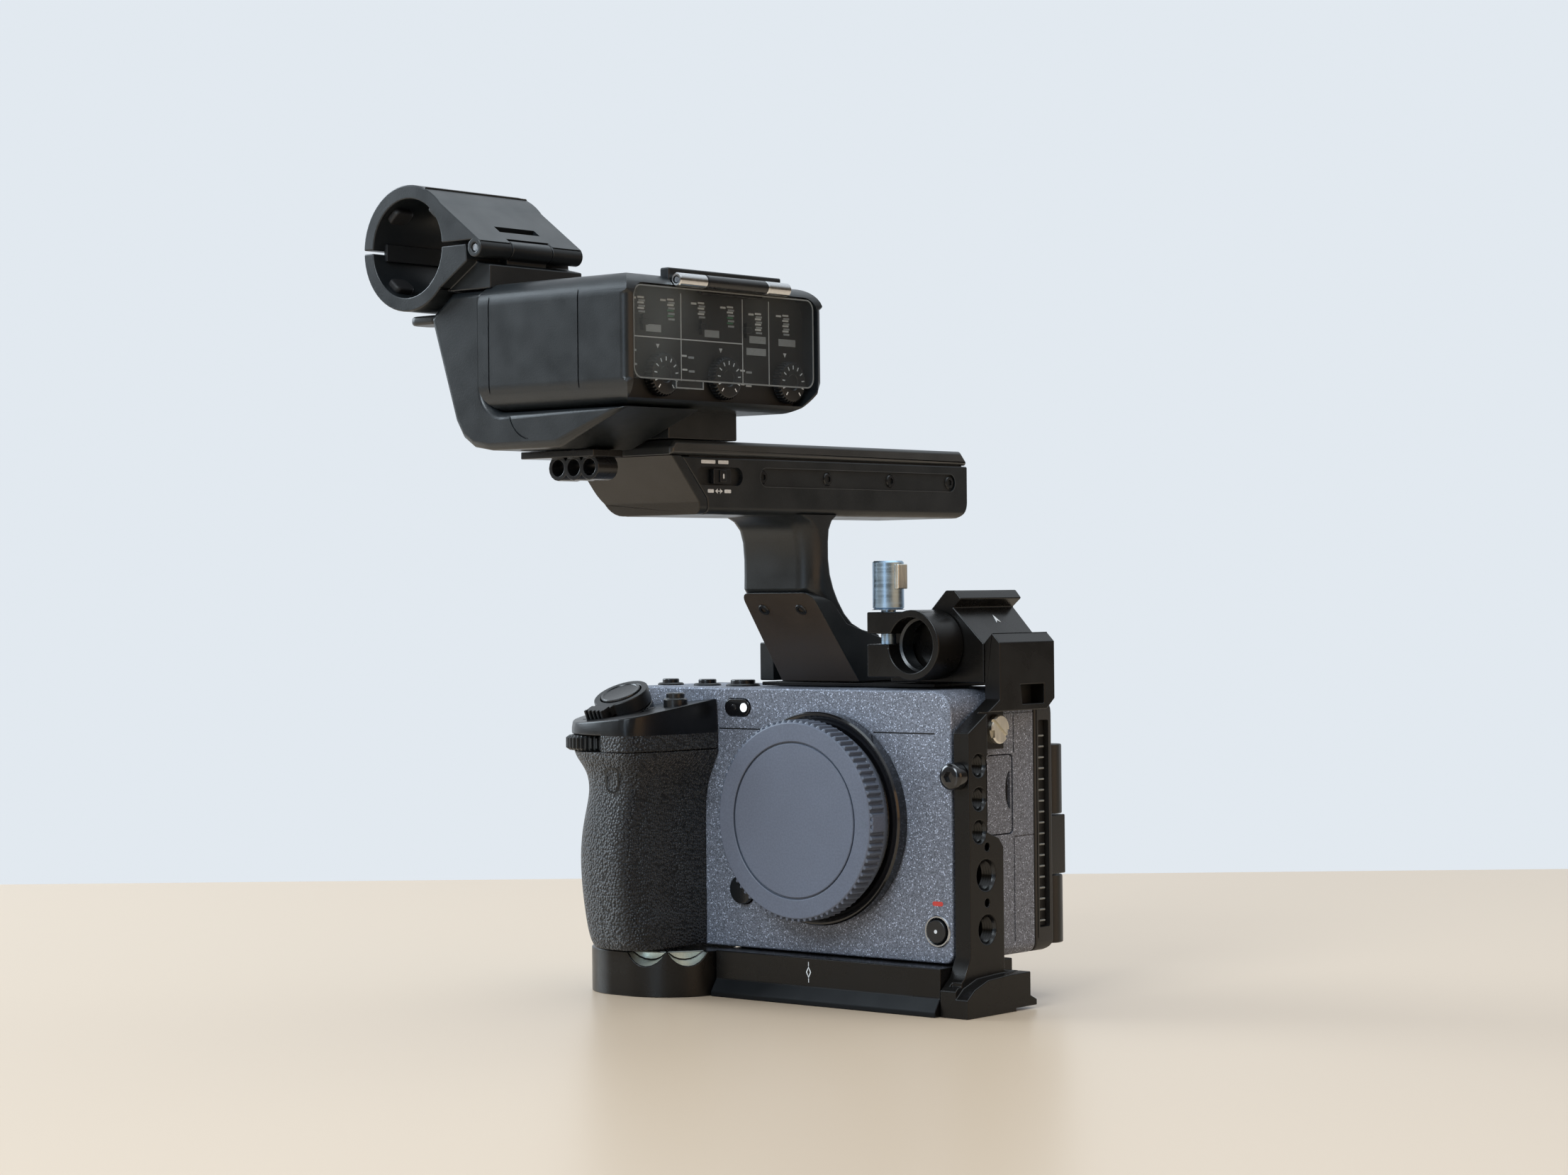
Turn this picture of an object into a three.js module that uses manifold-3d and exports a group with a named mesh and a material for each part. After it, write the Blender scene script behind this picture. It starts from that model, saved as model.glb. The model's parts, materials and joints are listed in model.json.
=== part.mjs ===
// A compact cinema camera in a half cage, with a top handle that carries an audio unit and a mic clamp.
// Millimetres, +Z up. X = 0 is the lens axis, +X is the port side, the camera looks along -Y.
// Y = 0 is the front face of the camera body and Z = 0 is the underside of the cage's base plate.
import * as THREE from "three";
import { mergeVertices } from "three/addons/utils/BufferGeometryUtils.js";
import Module from "manifold-3d";

const wasm = await Module();
wasm.setup();

// ---- driving dimensions ----------------------------------------------------------------------------
const gap = 0.3; // clearance between neighbouring pieces
const wall = 2.4; // wall of the camera's shells

const body = { left: -82.4, right: 47.3, bottom: 14, top: 91.8, seamY: 40, rearY: 49.2, corner: 6 };
const lensZ = 54; // height of the lens axis
const mountHole = 27; // radius of the hole behind the lens mount
const cap = { radius: 29.3, front: -14, rear: -4.8 };

const monitor = { left: -33, right: 46.5, bottom: 15.5, top: 74.5, front: 50, depth: 7 };
const monitorAxis = { x: monitor.right - monitor.depth / 2, y: monitor.front + monitor.depth / 2 };

const bracket = { inner: 48.5, outer: 54, foot: 58.2 }; // X of the cage's side bracket
const rod = { x: 31, z: 104.7, radius: 8, front: 2.5, rear: 14.5 };

const handle = { left: -27.5, right: 1.5, front: -66.5, rear: 70, bottom: 142.5, seam: 158.6, top: 163.2 };
const box = { left: -40.4, right: 16, front: -100, rear: -17.2, bottom: 171.2, top: 207, corner: 7 };
const panelX = 10.4; // outer face of the control panel inside the audio box's rim
const mic = { x: -66.5, z: 218.7, outer: 17.9, inner: 14, front: -102, rear: -61, split: 218.7 };
const micHinge = { x: -39.5, z: 217, radius: 2.7 };

// ---- materials -------------------------------------------------------------------------------------
const paint = (color, roughness, metalness) => ({ color, roughness, metalness });
const finish = {
  bodyPaint: paint(0x4a4f5c, 0.45, 0.35),
  capPlastic: paint(0x565b66, 0.6, 0),
  blackPlastic: paint(0x1d1f22, 0.5, 0),
  glossBlack: paint(0x0d0e10, 0.2, 0),
  gripRubber: paint(0x1b1b1d, 0.75, 0),
  cageMetal: paint(0x1c1b1a, 0.45, 0.6),
  handleMetal: paint(0x24272a, 0.6, 0.3),
  steel: paint(0x9aa3ad, 0.3, 1),
  chrome: paint(0xd0d0d0, 0.12, 1),
  clearCover: paint(0xdfe6ea, 0.05, 0),
  circuitGreen: paint(0x1f5a3a, 0.6, 0),
  screenGlass: paint(0x0a0b0d, 0.1, 0),
};

// ---- small geometry helpers ------------------------------------------------------------------------
const turnX = new THREE.Matrix4().set(0, 0, 1, 0, 1, 0, 0, 0, 0, 1, 0, 0, 0, 0, 0, 1);

// A closed outline from [x, y] points.
const outline = (points) => new THREE.Shape(points.map(([x, y]) => new THREE.Vector2(x, y)));

// A rectangle with round corners.
function roundRect(x0, x1, y0, y1, r) {
  const shape = new THREE.Shape();
  shape.moveTo(x0 + r, y0);
  shape.lineTo(x1 - r, y0);
  shape.absarc(x1 - r, y0 + r, r, -Math.PI / 2, 0);
  shape.lineTo(x1, y1 - r);
  shape.absarc(x1 - r, y1 - r, r, 0, Math.PI / 2);
  shape.lineTo(x0 + r, y1);
  shape.absarc(x0 + r, y1 - r, r, Math.PI / 2, Math.PI);
  shape.lineTo(x0, y0 + r);
  shape.absarc(x0 + r, y0 + r, r, Math.PI, Math.PI * 1.5);
  return shape;
}

// A slot outline: half-round ends along its first axis.
function pill(x0, x1, y0, y1) {
  const r = (y1 - y0) / 2;
  const shape = new THREE.Shape();
  shape.moveTo(x0 + r, y0);
  shape.absarc(x1 - r, y0 + r, r, -Math.PI / 2, Math.PI / 2);
  shape.absarc(x0 + r, y0 + r, r, Math.PI / 2, Math.PI * 1.5);
  return shape;
}

// Extrudes an outline from a to b. The edges at both ends are chamfered by bevel, inside the outline's size.
function extrude(shape, a, b, bevel = 0, curveSegments = 6) {
  return new THREE.ExtrudeGeometry(shape, {
    depth: b - a - 2 * bevel,
    bevelEnabled: bevel > 0,
    bevelThickness: bevel,
    bevelSize: bevel,
    bevelOffset: -bevel,
    bevelSegments: 1,
    curveSegments,
  }).translate(0, 0, a + bevel);
}
// The same along Y, from an (X, Z) outline, and along X, from a (Y, Z) outline.
const alongY = (shape, y0, y1, bevel, segments) =>
  extrude(shape, -y1, -y0, bevel, segments).rotateX(Math.PI / 2);
const alongX = (shape, x0, x1, bevel, segments) =>
  extrude(shape, x0, x1, bevel, segments).applyMatrix4(turnX);

const block = (x0, x1, y0, y1, z0, z1) =>
  new THREE.BoxGeometry(x1 - x0, y1 - y0, z1 - z0).translate((x0 + x1) / 2, (y0 + y1) / 2, (z0 + z1) / 2);

const cylinderX = (r, x0, x1, y, z, sides = 24) =>
  new THREE.CylinderGeometry(r, r, x1 - x0, sides).rotateZ(Math.PI / 2).translate((x0 + x1) / 2, y, z);
const cylinderY = (r, y0, y1, x, z, sides = 24) =>
  new THREE.CylinderGeometry(r, r, y1 - y0, sides).translate(x, (y0 + y1) / 2, z);
const cylinderZ = (r, z0, z1, x, y, sides = 24) =>
  new THREE.CylinderGeometry(r, r, z1 - z0, sides).rotateX(Math.PI / 2).translate(x, y, (z0 + z1) / 2);

// ---- joins and cuts --------------------------------------------------------------------------------
function toSolid(geometry) {
  const g = geometry.clone();
  g.deleteAttribute("normal");
  g.deleteAttribute("uv");
  const merged = mergeVertices(g, 1e-4);
  return new wasm.Manifold(
    new wasm.Mesh({
      numProp: 3,
      vertProperties: new Float32Array(merged.attributes.position.array),
      triVerts: new Uint32Array(merged.index.array),
    }),
  );
}

function toGeometry(solid) {
  const mesh = solid.getMesh();
  const geometry = new THREE.BufferGeometry();
  geometry.setAttribute("position", new THREE.BufferAttribute(mesh.vertProperties, 3));
  geometry.setIndex(new THREE.BufferAttribute(mesh.triVerts, 1));
  return geometry;
}

const cut = (base, ...tools) =>
  toGeometry(tools.reduce((solid, tool) => solid.subtract(toSolid(tool)), toSolid(base)));
const join = (base, ...more) =>
  toGeometry(more.reduce((solid, piece) => solid.add(toSolid(piece)), toSolid(base)));
const common = (a, b) => toGeometry(toSolid(a).intersect(toSolid(b)));

// ---- the scene graph -------------------------------------------------------------------------------
const rig = new THREE.Group();

function add(name, geometry, look, parent = rig) {
  if (!geometry.attributes.normal) geometry.computeVertexNormals();
  const mesh = new THREE.Mesh(geometry, new THREE.MeshStandardMaterial(look));
  mesh.name = name;
  parent.add(mesh);
  return mesh;
}

// ---- camera body -----------------------------------------------------------------------------------
const releaseButton = { x: -31.4, z: 31.2, radius: 5 };
const recButton = { x: 42, z: 23.2, radius: 3.4 };
const tally = { left: -37.8, right: -28, bottom: 83.4, top: 88.4 };
const battery = { left: -71.8, right: -49.1, front: -17.5, rear: 21.2, bottom: 17, top: 68.7 };
const portDoor = { front: 17, rear: 29.2, bottom: 49.7, top: 72.5 };
const mediaDoor = { front: 21, rear: 37, bottom: 30, top: 74 };
const topButtons = [
  { x: -72.5, y: 14, collar: 3.5, radius: 2.6 },
  { x: -57.3, y: 14, collar: 3.8, radius: 2.8 },
  { x: -42.8, y: 14, collar: 4.6, radius: 3.8 },
];
const bodyOutline = (inset) =>
  roundRect(
    body.left + inset,
    body.right - inset,
    body.bottom + inset,
    body.top - inset,
    body.corner - inset * 0.7,
  );

function frontShell() {
  const frontEdge = 1.5;
  const skin = alongY(bodyOutline(0), 0, body.seamY + 10, frontEdge);
  const batteryRoom = block(
    battery.left - gap,
    battery.right + gap,
    -1,
    wall + 1,
    battery.bottom - gap,
    battery.top + gap,
  );
  return cut(
    skin,
    block(body.left - 1, body.right + 1, body.seamY, body.seamY + 11, body.bottom - 1, body.top + 1),
    alongY(bodyOutline(wall), wall, body.seamY + 1),
    cylinderY(mountHole, -1, wall + 1, 0, lensZ, 48),
    cylinderY(releaseButton.radius + gap, -1, wall + 1, releaseButton.x, releaseButton.z),
    cylinderY(recButton.radius + gap, -1, wall + 1, recButton.x, recButton.z),
    alongY(pill(tally.left - gap, tally.right + gap, tally.bottom - gap, tally.top + gap), -1, 1.2),
    batteryRoom,
    ...topButtons.map((b) => cylinderZ(b.radius + gap, body.top - wall - 1, body.top + 1, b.x, b.y)),
    alongX(
      roundRect(portDoor.front - gap, portDoor.rear + gap, portDoor.bottom - gap, portDoor.top + gap, 1.5),
      body.right - wall - 1,
      body.right + 1,
      0,
      3,
    ),
    alongX(
      roundRect(mediaDoor.front - gap, mediaDoor.rear + gap, mediaDoor.bottom - gap, mediaDoor.top + gap, 2),
      body.left - 1,
      body.left + wall + 1,
      0,
      3,
    ),
  );
}
add("front_shell", frontShell(), finish.bodyPaint);

// The rear shell has an air outlet in its port side, behind a comb of fins.
const vent = { front: 43.4, rear: 46.3, bottom: 21, top: 82, pitch: 3.2 };
const rearDial = { x: -58, z: 34, radius: 13, hub: 3 };

function rearShell() {
  const skin = alongY(bodyOutline(0), body.seamY - 10, body.rearY, 2);
  return cut(
    skin,
    block(body.left - 1, body.right + 1, body.seamY - 11, body.seamY + gap, body.bottom - 1, body.top + 1),
    alongY(bodyOutline(wall), body.seamY, body.rearY - wall),
    block(body.right - wall - 1, body.right + 1, vent.front, vent.rear, vent.bottom, vent.top),
    cylinderY(rearDial.hub + gap, body.rearY - wall - 1, body.rearY + 1, rearDial.x, rearDial.z),
  );
}
add("rear_shell", rearShell(), finish.bodyPaint);

function ventGrille() {
  const x0 = body.right - wall;
  const x1 = body.right - 0.4;
  const frame = block(x0, x1, vent.front + gap, vent.rear - gap, vent.bottom + gap, vent.top - gap);
  const count = Math.floor((vent.top - vent.bottom - 2) / vent.pitch);
  const slots = Array.from({ length: count }, (_, i) => {
    const z = vent.bottom + 1.4 + i * vent.pitch;
    return block(x0 - 1, x1 + 1, vent.front + 0.8, vent.rear + 1, z, z + vent.pitch - 1);
  });
  return cut(frame, ...slots);
}
add("vent_grille", ventGrille(), finish.blackPlastic);

add(
  "tally_window",
  alongY(pill(tally.left, tally.right, tally.bottom, tally.top), -0.4, 0.9, 0.3, 5),
  finish.glossBlack,
);

// ---- lens mount ------------------------------------------------------------------------------------
// A ring around the lens axis, turned from an (r, y) profile that closes on itself.
function ring(profile, segments = 48) {
  const points = profile.map(([r, y]) => new THREE.Vector2(r, y));
  points.push(points[0].clone());
  return new THREE.LatheGeometry(points, segments).translate(0, 0, lensZ);
}

add(
  "mount_bezel",
  ring([
    [26.8, -gap],
    [26.8, -3.2],
    [30.6, -4.3],
    [31.3, -3.4],
    [31.3, -gap],
  ]),
  finish.glossBlack,
);
add(
  "lens_flange",
  ring([
    [23, -4.3],
    [26.4, -4.3],
    [26.4, wall + gap],
    [30, wall + gap],
    [30, wall + gap + 2],
    [23, wall + gap + 2],
  ]),
  finish.steel,
);

function bodyCap() {
  const skirt = 22.4;
  return ring(
    [
      [0, cap.front + 2.2],
      [skirt - 2, cap.front + 2.2],
      [skirt - 2, wall],
      [skirt, wall],
      [skirt, cap.rear],
      [cap.radius - 0.4, cap.rear],
      [cap.radius, cap.rear - 0.6],
      [cap.radius, cap.front + 1.2],
      [cap.radius - 1.2, cap.front],
      [0, cap.front],
    ].reverse(),
    60,
  );
}
add("body_cap", bodyCap(), finish.capPlastic);

// The lens release is a stem through the shell with a wider retaining foot behind it. The record
// button sits too close to the shell's side for a foot and is a plain plunger.
function releaseGeometry() {
  const { x, z, radius } = releaseButton;
  const foot = cylinderY(radius + 0.9, wall + 1.8, wall + 3, x, z);
  return join(cylinderY(radius, -2, wall + 2, x, z), foot);
}
add("lens_release_button", releaseGeometry(), finish.blackPlastic);
add(
  "rec_button",
  cylinderY(recButton.radius, -1.2, wall - gap, recButton.x, recButton.z),
  finish.blackPlastic,
);

// ---- inside the camera -----------------------------------------------------------------------------
const sensor = { front: 13.5, thickness: 1.6, width: 37, height: 25 };
add(
  "image_sensor",
  block(
    -sensor.width / 2,
    sensor.width / 2,
    sensor.front,
    sensor.front + sensor.thickness,
    lensZ - sensor.height / 2,
    lensZ + sensor.height / 2,
  ),
  finish.glossBlack,
);
const carrier = { front: sensor.front + sensor.thickness + gap, rear: 19.5, width: 60, height: 48 };
add(
  "sensor_carrier",
  cut(
    block(
      -carrier.width / 2,
      carrier.width / 2,
      carrier.front,
      carrier.rear,
      lensZ - carrier.height / 2,
      lensZ + carrier.height / 2,
    ),
    block(-14, 14, carrier.rear - 1.5, carrier.rear + 1, lensZ - 10, lensZ + 10),
  ),
  finish.steel,
);
add("main_board", block(-42, 42, 24, 25.6, 19, 84), finish.circuitGreen);
add(
  "battery",
  block(battery.left, battery.right, battery.front, battery.rear, battery.bottom, battery.top),
  finish.blackPlastic,
);
add("memory_card", block(-79, -47, 30, 32.1, 40, 64), finish.blackPlastic);

// ---- grip ------------------------------------------------------------------------------------------
// The grip's plan section at one height. It has a flat back against the body, a bulging outer side,
// a rounded front-left corner and a ridge at the front right, and then runs back to the body.
function gripSection({ left, front, ridge, right }) {
  const curve = new THREE.SplineCurve(
    [
      [right, -gap],
      [right - 0.8, front * 0.35],
      [ridge, front * 0.75],
      [ridge - 2.5, front * 0.95],
      [ridge - 9, front],
      [left * 0.5 + ridge * 0.5 - 4, front * 0.93],
      [left + 5, front * 0.62],
      [left, front * 0.2],
      [left + 0.6, -gap],
    ].map(([x, y]) => new THREE.Vector2(x, y)),
  );
  return curve.getPoints(28).reverse();
}

// Skins a stack of plan sections, all with the same number of points, into one closed solid.
function loft(levels) {
  const count = levels[0].points.length;
  const positions = levels.flatMap(({ points, z }) => points.flatMap((p) => [p.x, p.y, z]));
  const index = [];
  for (let level = 0; level + 1 < levels.length; level++) {
    for (let i = 0; i < count; i++) {
      const a = level * count + i;
      const b = level * count + ((i + 1) % count);
      index.push(a, b, b + count, a, b + count, a + count);
    }
  }
  const lid = THREE.ShapeUtils.triangulateShape(levels[0].points, []);
  lid.forEach(([a, b, c]) => index.push(a, c, b));
  const base = (levels.length - 1) * count;
  const topLid = THREE.ShapeUtils.triangulateShape(levels.at(-1).points, []);
  topLid.forEach(([a, b, c]) => index.push(base + a, base + b, base + c));
  const geometry = new THREE.BufferGeometry();
  geometry.setAttribute("position", new THREE.Float32BufferAttribute(positions, 3));
  geometry.setIndex(index);
  return geometry;
}

const gripLevels = [
  { z: 14.2, left: -78.5, front: -29, ridge: -47.5, right: -46.3 },
  { z: 17, left: -80.2, front: -31, ridge: -46.8, right: -46 },
  { z: 30, left: -81.6, front: -33, ridge: -46.6, right: -46 },
  { z: 43, left: -82, front: -33.8, ridge: -46.8, right: -46 },
  { z: 53, left: -80.5, front: -32.5, ridge: -47.2, right: -46 },
  { z: 61, left: -79, front: -30.5, ridge: -46.8, right: -45.6 },
  { z: 67, left: -80.5, front: -31.5, ridge: -44.8, right: -43.4 },
  { z: 71, left: -83.6, front: -34.5, ridge: -43.2, right: -41.2 },
  { z: 73.2, left: -84.2, front: -35.2, ridge: -42.8, right: -40.6 },
];
const dial = { x: -66.8, y: -22.4, radius: 11.6, bottom: 73.6, top: 78, hub: 2.5 };

function grip() {
  const skin = loft(gripLevels.map((level) => ({ z: level.z, points: gripSection(level) })));
  return cut(
    skin,
    block(
      battery.left - gap,
      battery.right + gap,
      battery.front - gap,
      1,
      battery.bottom - gap,
      battery.top + gap,
    ),
  );
}
add("grip", grip(), finish.gripRubber);

// The shutter button and the zoom lever around it sit on a boss that leans forward. Its frame has its
// origin at the foot of the lever and +Z along the button's travel.
const shutter = { x: -65, y: -14.9, z: 85.8, lean: 0.436, radius: 6.2, ring: 8.5, reach: 12.6, height: 5 };
const shutterGroup = new THREE.Group();
shutterGroup.position.set(shutter.x, shutter.y, shutter.z);
shutterGroup.rotation.x = shutter.lean;
shutterGroup.updateMatrix();
rig.add(shutterGroup);
const onShutter = (geometry) => geometry.applyMatrix4(shutterGroup.matrix);

const gripButton = { x: -49, y: -10, radius: 3.5, bottom: 85.2, top: 90.4 };

// The hard cover on top of the grip slopes down to the front and to the outer side. The dial turns in
// a slot in its lower front corner.
const coverTop = { x: -42, z: 88.5, slopeX: 0.084, slopeY: 0.13 };
function gripTopCover() {
  const low = { left: -85, front: -35.6, ridge: -42.8, right: -40.6 };
  const high = { left: -83, front: -33.8, ridge: -43.4, right: -41.2 };
  const skin = loft([
    { z: 73.5, points: gripSection(low) },
    { z: 80, points: gripSection(low) },
    { z: 92, points: gripSection(high) },
  ]);
  const sky = block(-70, 30, -60, 30, 0, 20)
    .rotateX(Math.atan(coverTop.slopeY))
    .rotateY(-Math.atan(coverTop.slopeX))
    .translate(coverTop.x, 0, coverTop.z);
  const boss = onShutter(cylinderZ(shutter.ring, -5, 0, 0, 0));
  return cut(
    join(cut(skin, sky), boss),
    cylinderZ(dial.radius + 0.6, 70, dial.top + gap, dial.x, dial.y, 36),
    cylinderZ(dial.radius + 4.5, 70, dial.top + gap, dial.x - 2.5, dial.y - 3.5, 36),
    onShutter(cylinderZ(shutter.ring + gap, 0, 12, 0, 0, 32)),
    onShutter(cylinderZ(shutter.reach + 0.8, 1.4, 12, 0, 0, 32)),
    cylinderZ(gripButton.radius + gap, gripButton.bottom - 1.2, 100, gripButton.x, gripButton.y),
  );
}
add("grip_top_cover", gripTopCover(), finish.glossBlack);

add("front_dial", cylinderZ(dial.radius, dial.bottom, dial.top, dial.x, dial.y, 36), finish.blackPlastic);

function zoomLever() {
  const tab = block(-3.6, 3.6, -shutter.reach + 0.6, -shutter.ring + 1.4, 1.9, shutter.height);
  return cut(
    join(cylinderZ(shutter.ring, gap, shutter.height, 0, 0, 32), tab),
    cylinderZ(shutter.radius + gap, -1, shutter.height + 1, 0, 0, 28),
  );
}
add("zoom_lever", zoomLever(), finish.blackPlastic, shutterGroup);
add(
  "shutter_button",
  cylinderZ(shutter.radius, 1.4, shutter.height + 0.5, 0, 0, 28),
  finish.glossBlack,
  shutterGroup,
);
add(
  "grip_button",
  cylinderZ(gripButton.radius, gripButton.bottom, gripButton.top, gripButton.x, gripButton.y),
  finish.glossBlack,
);

// ---- controls and doors on the body ----------------------------------------------------------------
topButtons.forEach((b, i) => {
  const stem = cylinderZ(b.radius, body.top - wall - 1.6, body.top + 2, b.x, b.y);
  const foot = cylinderZ(b.radius + 0.9, body.top - wall - 2, body.top - wall - 0.9, b.x, b.y);
  add(`top_button_${i + 1}`, join(stem, foot), finish.blackPlastic);
});

add(
  "port_door",
  alongX(
    roundRect(portDoor.front, portDoor.rear, portDoor.bottom, portDoor.top, 1.2),
    body.right - wall + 0.2,
    body.right - 0.2,
    0,
    3,
  ),
  finish.bodyPaint,
);
add(
  "media_door",
  alongX(
    roundRect(mediaDoor.front, mediaDoor.rear, mediaDoor.bottom, mediaDoor.top, 1.7),
    body.left + 0.2,
    body.left + wall - 0.2,
    0,
    3,
  ),
  finish.bodyPaint,
);
add(
  "rear_dial",
  join(
    cylinderY(rearDial.radius, body.rearY + gap, body.rearY + 2.8, rearDial.x, rearDial.z, 32),
    cylinderY(rearDial.hub, body.rearY - wall - 2, body.rearY + 1, rearDial.x, rearDial.z),
    cylinderY(rearDial.hub + 1.6, body.rearY - wall - 2, body.rearY - wall - 0.5, rearDial.x, rearDial.z),
  ),
  finish.blackPlastic,
);

// ---- monitor ---------------------------------------------------------------------------------------
// The screen folds flat against the back. Its port edge is round about the hinge line and has a notch
// for the hinge leaf, which stays on the camera.
const leaf = { bottom: 36, top: 53.5, reach: 3.2 };
const leafRoom = 7.3;

function monitorPanel() {
  const { left, bottom, top, front, depth } = monitor;
  const middle = front + depth / 2;
  const slab = block(left, monitorAxis.x, front, front + depth, bottom, top);
  const edge = cylinderZ(depth / 2, bottom, top, monitorAxis.x, middle, 24);
  return cut(
    join(slab, edge),
    block(
      monitorAxis.x - leafRoom,
      monitor.right + 1,
      front - 1,
      front + depth + 1,
      leaf.bottom - gap,
      leaf.top + gap,
    ),
  );
}
add("monitor", monitorPanel(), finish.blackPlastic);
add(
  "monitor_hinge",
  block(
    monitorAxis.x - leaf.reach,
    monitorAxis.x + leaf.reach,
    body.rearY + gap,
    monitorAxis.y + leaf.reach,
    leaf.bottom,
    leaf.top,
  ),
  finish.blackPlastic,
);

// ---- cage ------------------------------------------------------------------------------------------
const base = { left: -36.1, right: bracket.inner - gap, front: -7.5, lip: -10, rear: 27.2, top: 13.6 };
const gripBase = { left: -62.5, right: -56, y: -5, radius: 19.5, top: 13.4 };

function basePlate() {
  const profile = outline([
    [base.lip, 0],
    [base.rear, 0],
    [base.rear, base.top],
    [base.front, base.top],
    [base.front, 5.2],
    [base.lip, 1.5],
  ]);
  const threads = [-20, 22].map((x) => cylinderZ(3.2, -1, 9, x, 14));
  return cut(alongX(profile, base.left, base.right), ...threads);
}
add("base_plate", basePlate(), finish.cageMetal);

// The round foot under the grip has two scallops milled into the front of its top rim.
function gripFoot() {
  const { left, right, y, radius, top } = gripBase;
  const shape = new THREE.Shape();
  shape.moveTo(left, y - radius);
  shape.absarc(right, y, radius, -Math.PI / 2, Math.PI / 2);
  shape.absarc(left, y, radius, Math.PI / 2, Math.PI * 1.5);
  const scallop = (heading) =>
    cylinderX(7, -3.2, 6, 0, 3)
      .rotateY(0.35)
      .translate(radius, 0, 0)
      .rotateZ(heading)
      .translate(right, y, top);
  return cut(extrude(shape, 0, top, 0, 24), scallop(-1.26), scallop(-0.58));
}
add("grip_base", gripFoot(), finish.cageMetal);

// The side bracket is one flat plate: a foot beside the base plate, an upright with accessory holes
// and a head above the camera, with a strap slot. The foot is thicker than the rest.
const uprightHoles = [
  [4.2, 70.6, 3.4],
  [4.2, 61.1, 3.4],
  [4.2, 51.8, 3.4],
  [7.8, 47.3, 1.2],
  [7.2, 39.3, 4.6],
  [7.6, 31.4, 1.2],
  [7.6, 23.8, 4.3],
];
const sideScrew = { y: 16.5, z: 80.4, radius: 4.2 };
const head = { front: 14.6, rear: 41.6, bottom: 85.6, shoulder: 105.3, top: 108 };

function sideBracket() {
  const footRear = [
    [15.4, 0],
    [15.4, 0.9],
    [25.4, 0.9],
    [25.4, 2.6],
    [22.4, 4],
    [22.4, 10.8],
  ];
  const plate = outline([
    [-7.9, 0],
    ...footRear,
    [15.6, 11.6],
    [15.6, 47],
    [13.5, 49.5],
    [8, 51.5],
    [8, 73],
    [10, 74.6],
    [21, 74.6],
    [21, head.bottom],
    [37.6, head.bottom],
    [head.rear, 88.6],
    [head.rear, head.top],
    [head.front, head.top],
    [head.front, 89],
    [-0.6, 80],
    [-0.6, 16.5],
    [-3.4, 11],
    [-7.9, 7.5],
  ]);
  const foot = outline([[-7.9, 0], ...footRear, [12.5, 10.8], [2, 10.2], [-4.4, 8], [-7.9, 5.3]]);
  const corner = 2.7;
  const chamfer = (x, turn) =>
    block(-3, 3, head.front - 5, head.rear + 5, 0, 4)
      .rotateY(turn * 0.785)
      .translate(x, 0, head.shoulder + corner / 2);
  const slot = alongX(
    outline([
      [25.6, 87.4],
      [36.3, 87.4],
      [36.3, 93],
      [24.6, 93],
    ]),
    bracket.inner - 1,
    bracket.outer + 1,
  );
  return cut(
    join(
      alongX(plate, bracket.inner, bracket.outer),
      alongX(foot, bracket.outer - 1, bracket.foot),
    ),
    chamfer(bracket.outer - corner / 2, 1),
    chamfer(bracket.inner + corner / 2, -1),
    slot,
    block(bracket.inner + 2, bracket.outer + 1, 8.3, 22, 74, head.bottom),
    ...uprightHoles.map(([y, z, r]) => cylinderX(r, bracket.inner - 1, bracket.outer + 1, y, z)),
    block(bracket.inner + 2.2, bracket.foot + 1, -9, -5, 8.6, 10.6),
  );
}
add("side_bracket", sideBracket(), finish.cageMetal);
add(
  "side_screw",
  cylinderX(sideScrew.radius, bracket.inner + 2 + gap, bracket.outer - 0.2, sideScrew.y, sideScrew.z),
  finish.steel,
);
add("front_screw", cylinderY(3.9, -3.6, -0.9, 51.2, 67.7, 28), finish.glossBlack);

// The top arm carries an accessory rail with a V-groove along its port side.
const arm = { left: 14, right: bracket.inner - gap, front: rod.rear + gap, rear: 41, bottom: 93.6 };
function topArm() {
  const profile = outline([
    [arm.left, arm.bottom],
    [arm.right, arm.bottom],
    [arm.right, 105],
    [37.4, 115.4],
    [40.2, 118],
    [37.9, 120.4],
    [34.5, 120.4],
    [28.5, 114.3],
    [arm.left, 114.3],
  ]);
  const railEnd = block(20, 45, 0, 10, -8, 6).rotateX(-0.785).translate(0, 38.2, 120.4);
  return cut(alongY(profile, arm.front, arm.rear), railEnd);
}
add("top_arm", topArm(), finish.cageMetal);

// A split clamp for a 15 mm rod, closed by an upright thumb screw beside the bore.
const clampScrew = { x: 19.2, y: 8, radius: 4.2, shank: 1.6, seat: 114.6, top: 128.6 };
function rodClamp() {
  const { x, z, front, rear } = rod;
  const ear = block(15, x, front, rear, 95.4, 114.3);
  return cut(
    join(ear, cylinderY(10.2, front, rear, x, z, 40)),
    cylinderY(rod.radius, front - 1, rear + 1, x, z, 40),
    block(14, x - 4, front - 1, rear + 1, 105, 108),
    cylinderZ(clampScrew.shank + gap, 97, 116, clampScrew.x, clampScrew.y, 16),
  );
}
add("rod_clamp", rodClamp(), finish.cageMetal);

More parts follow.
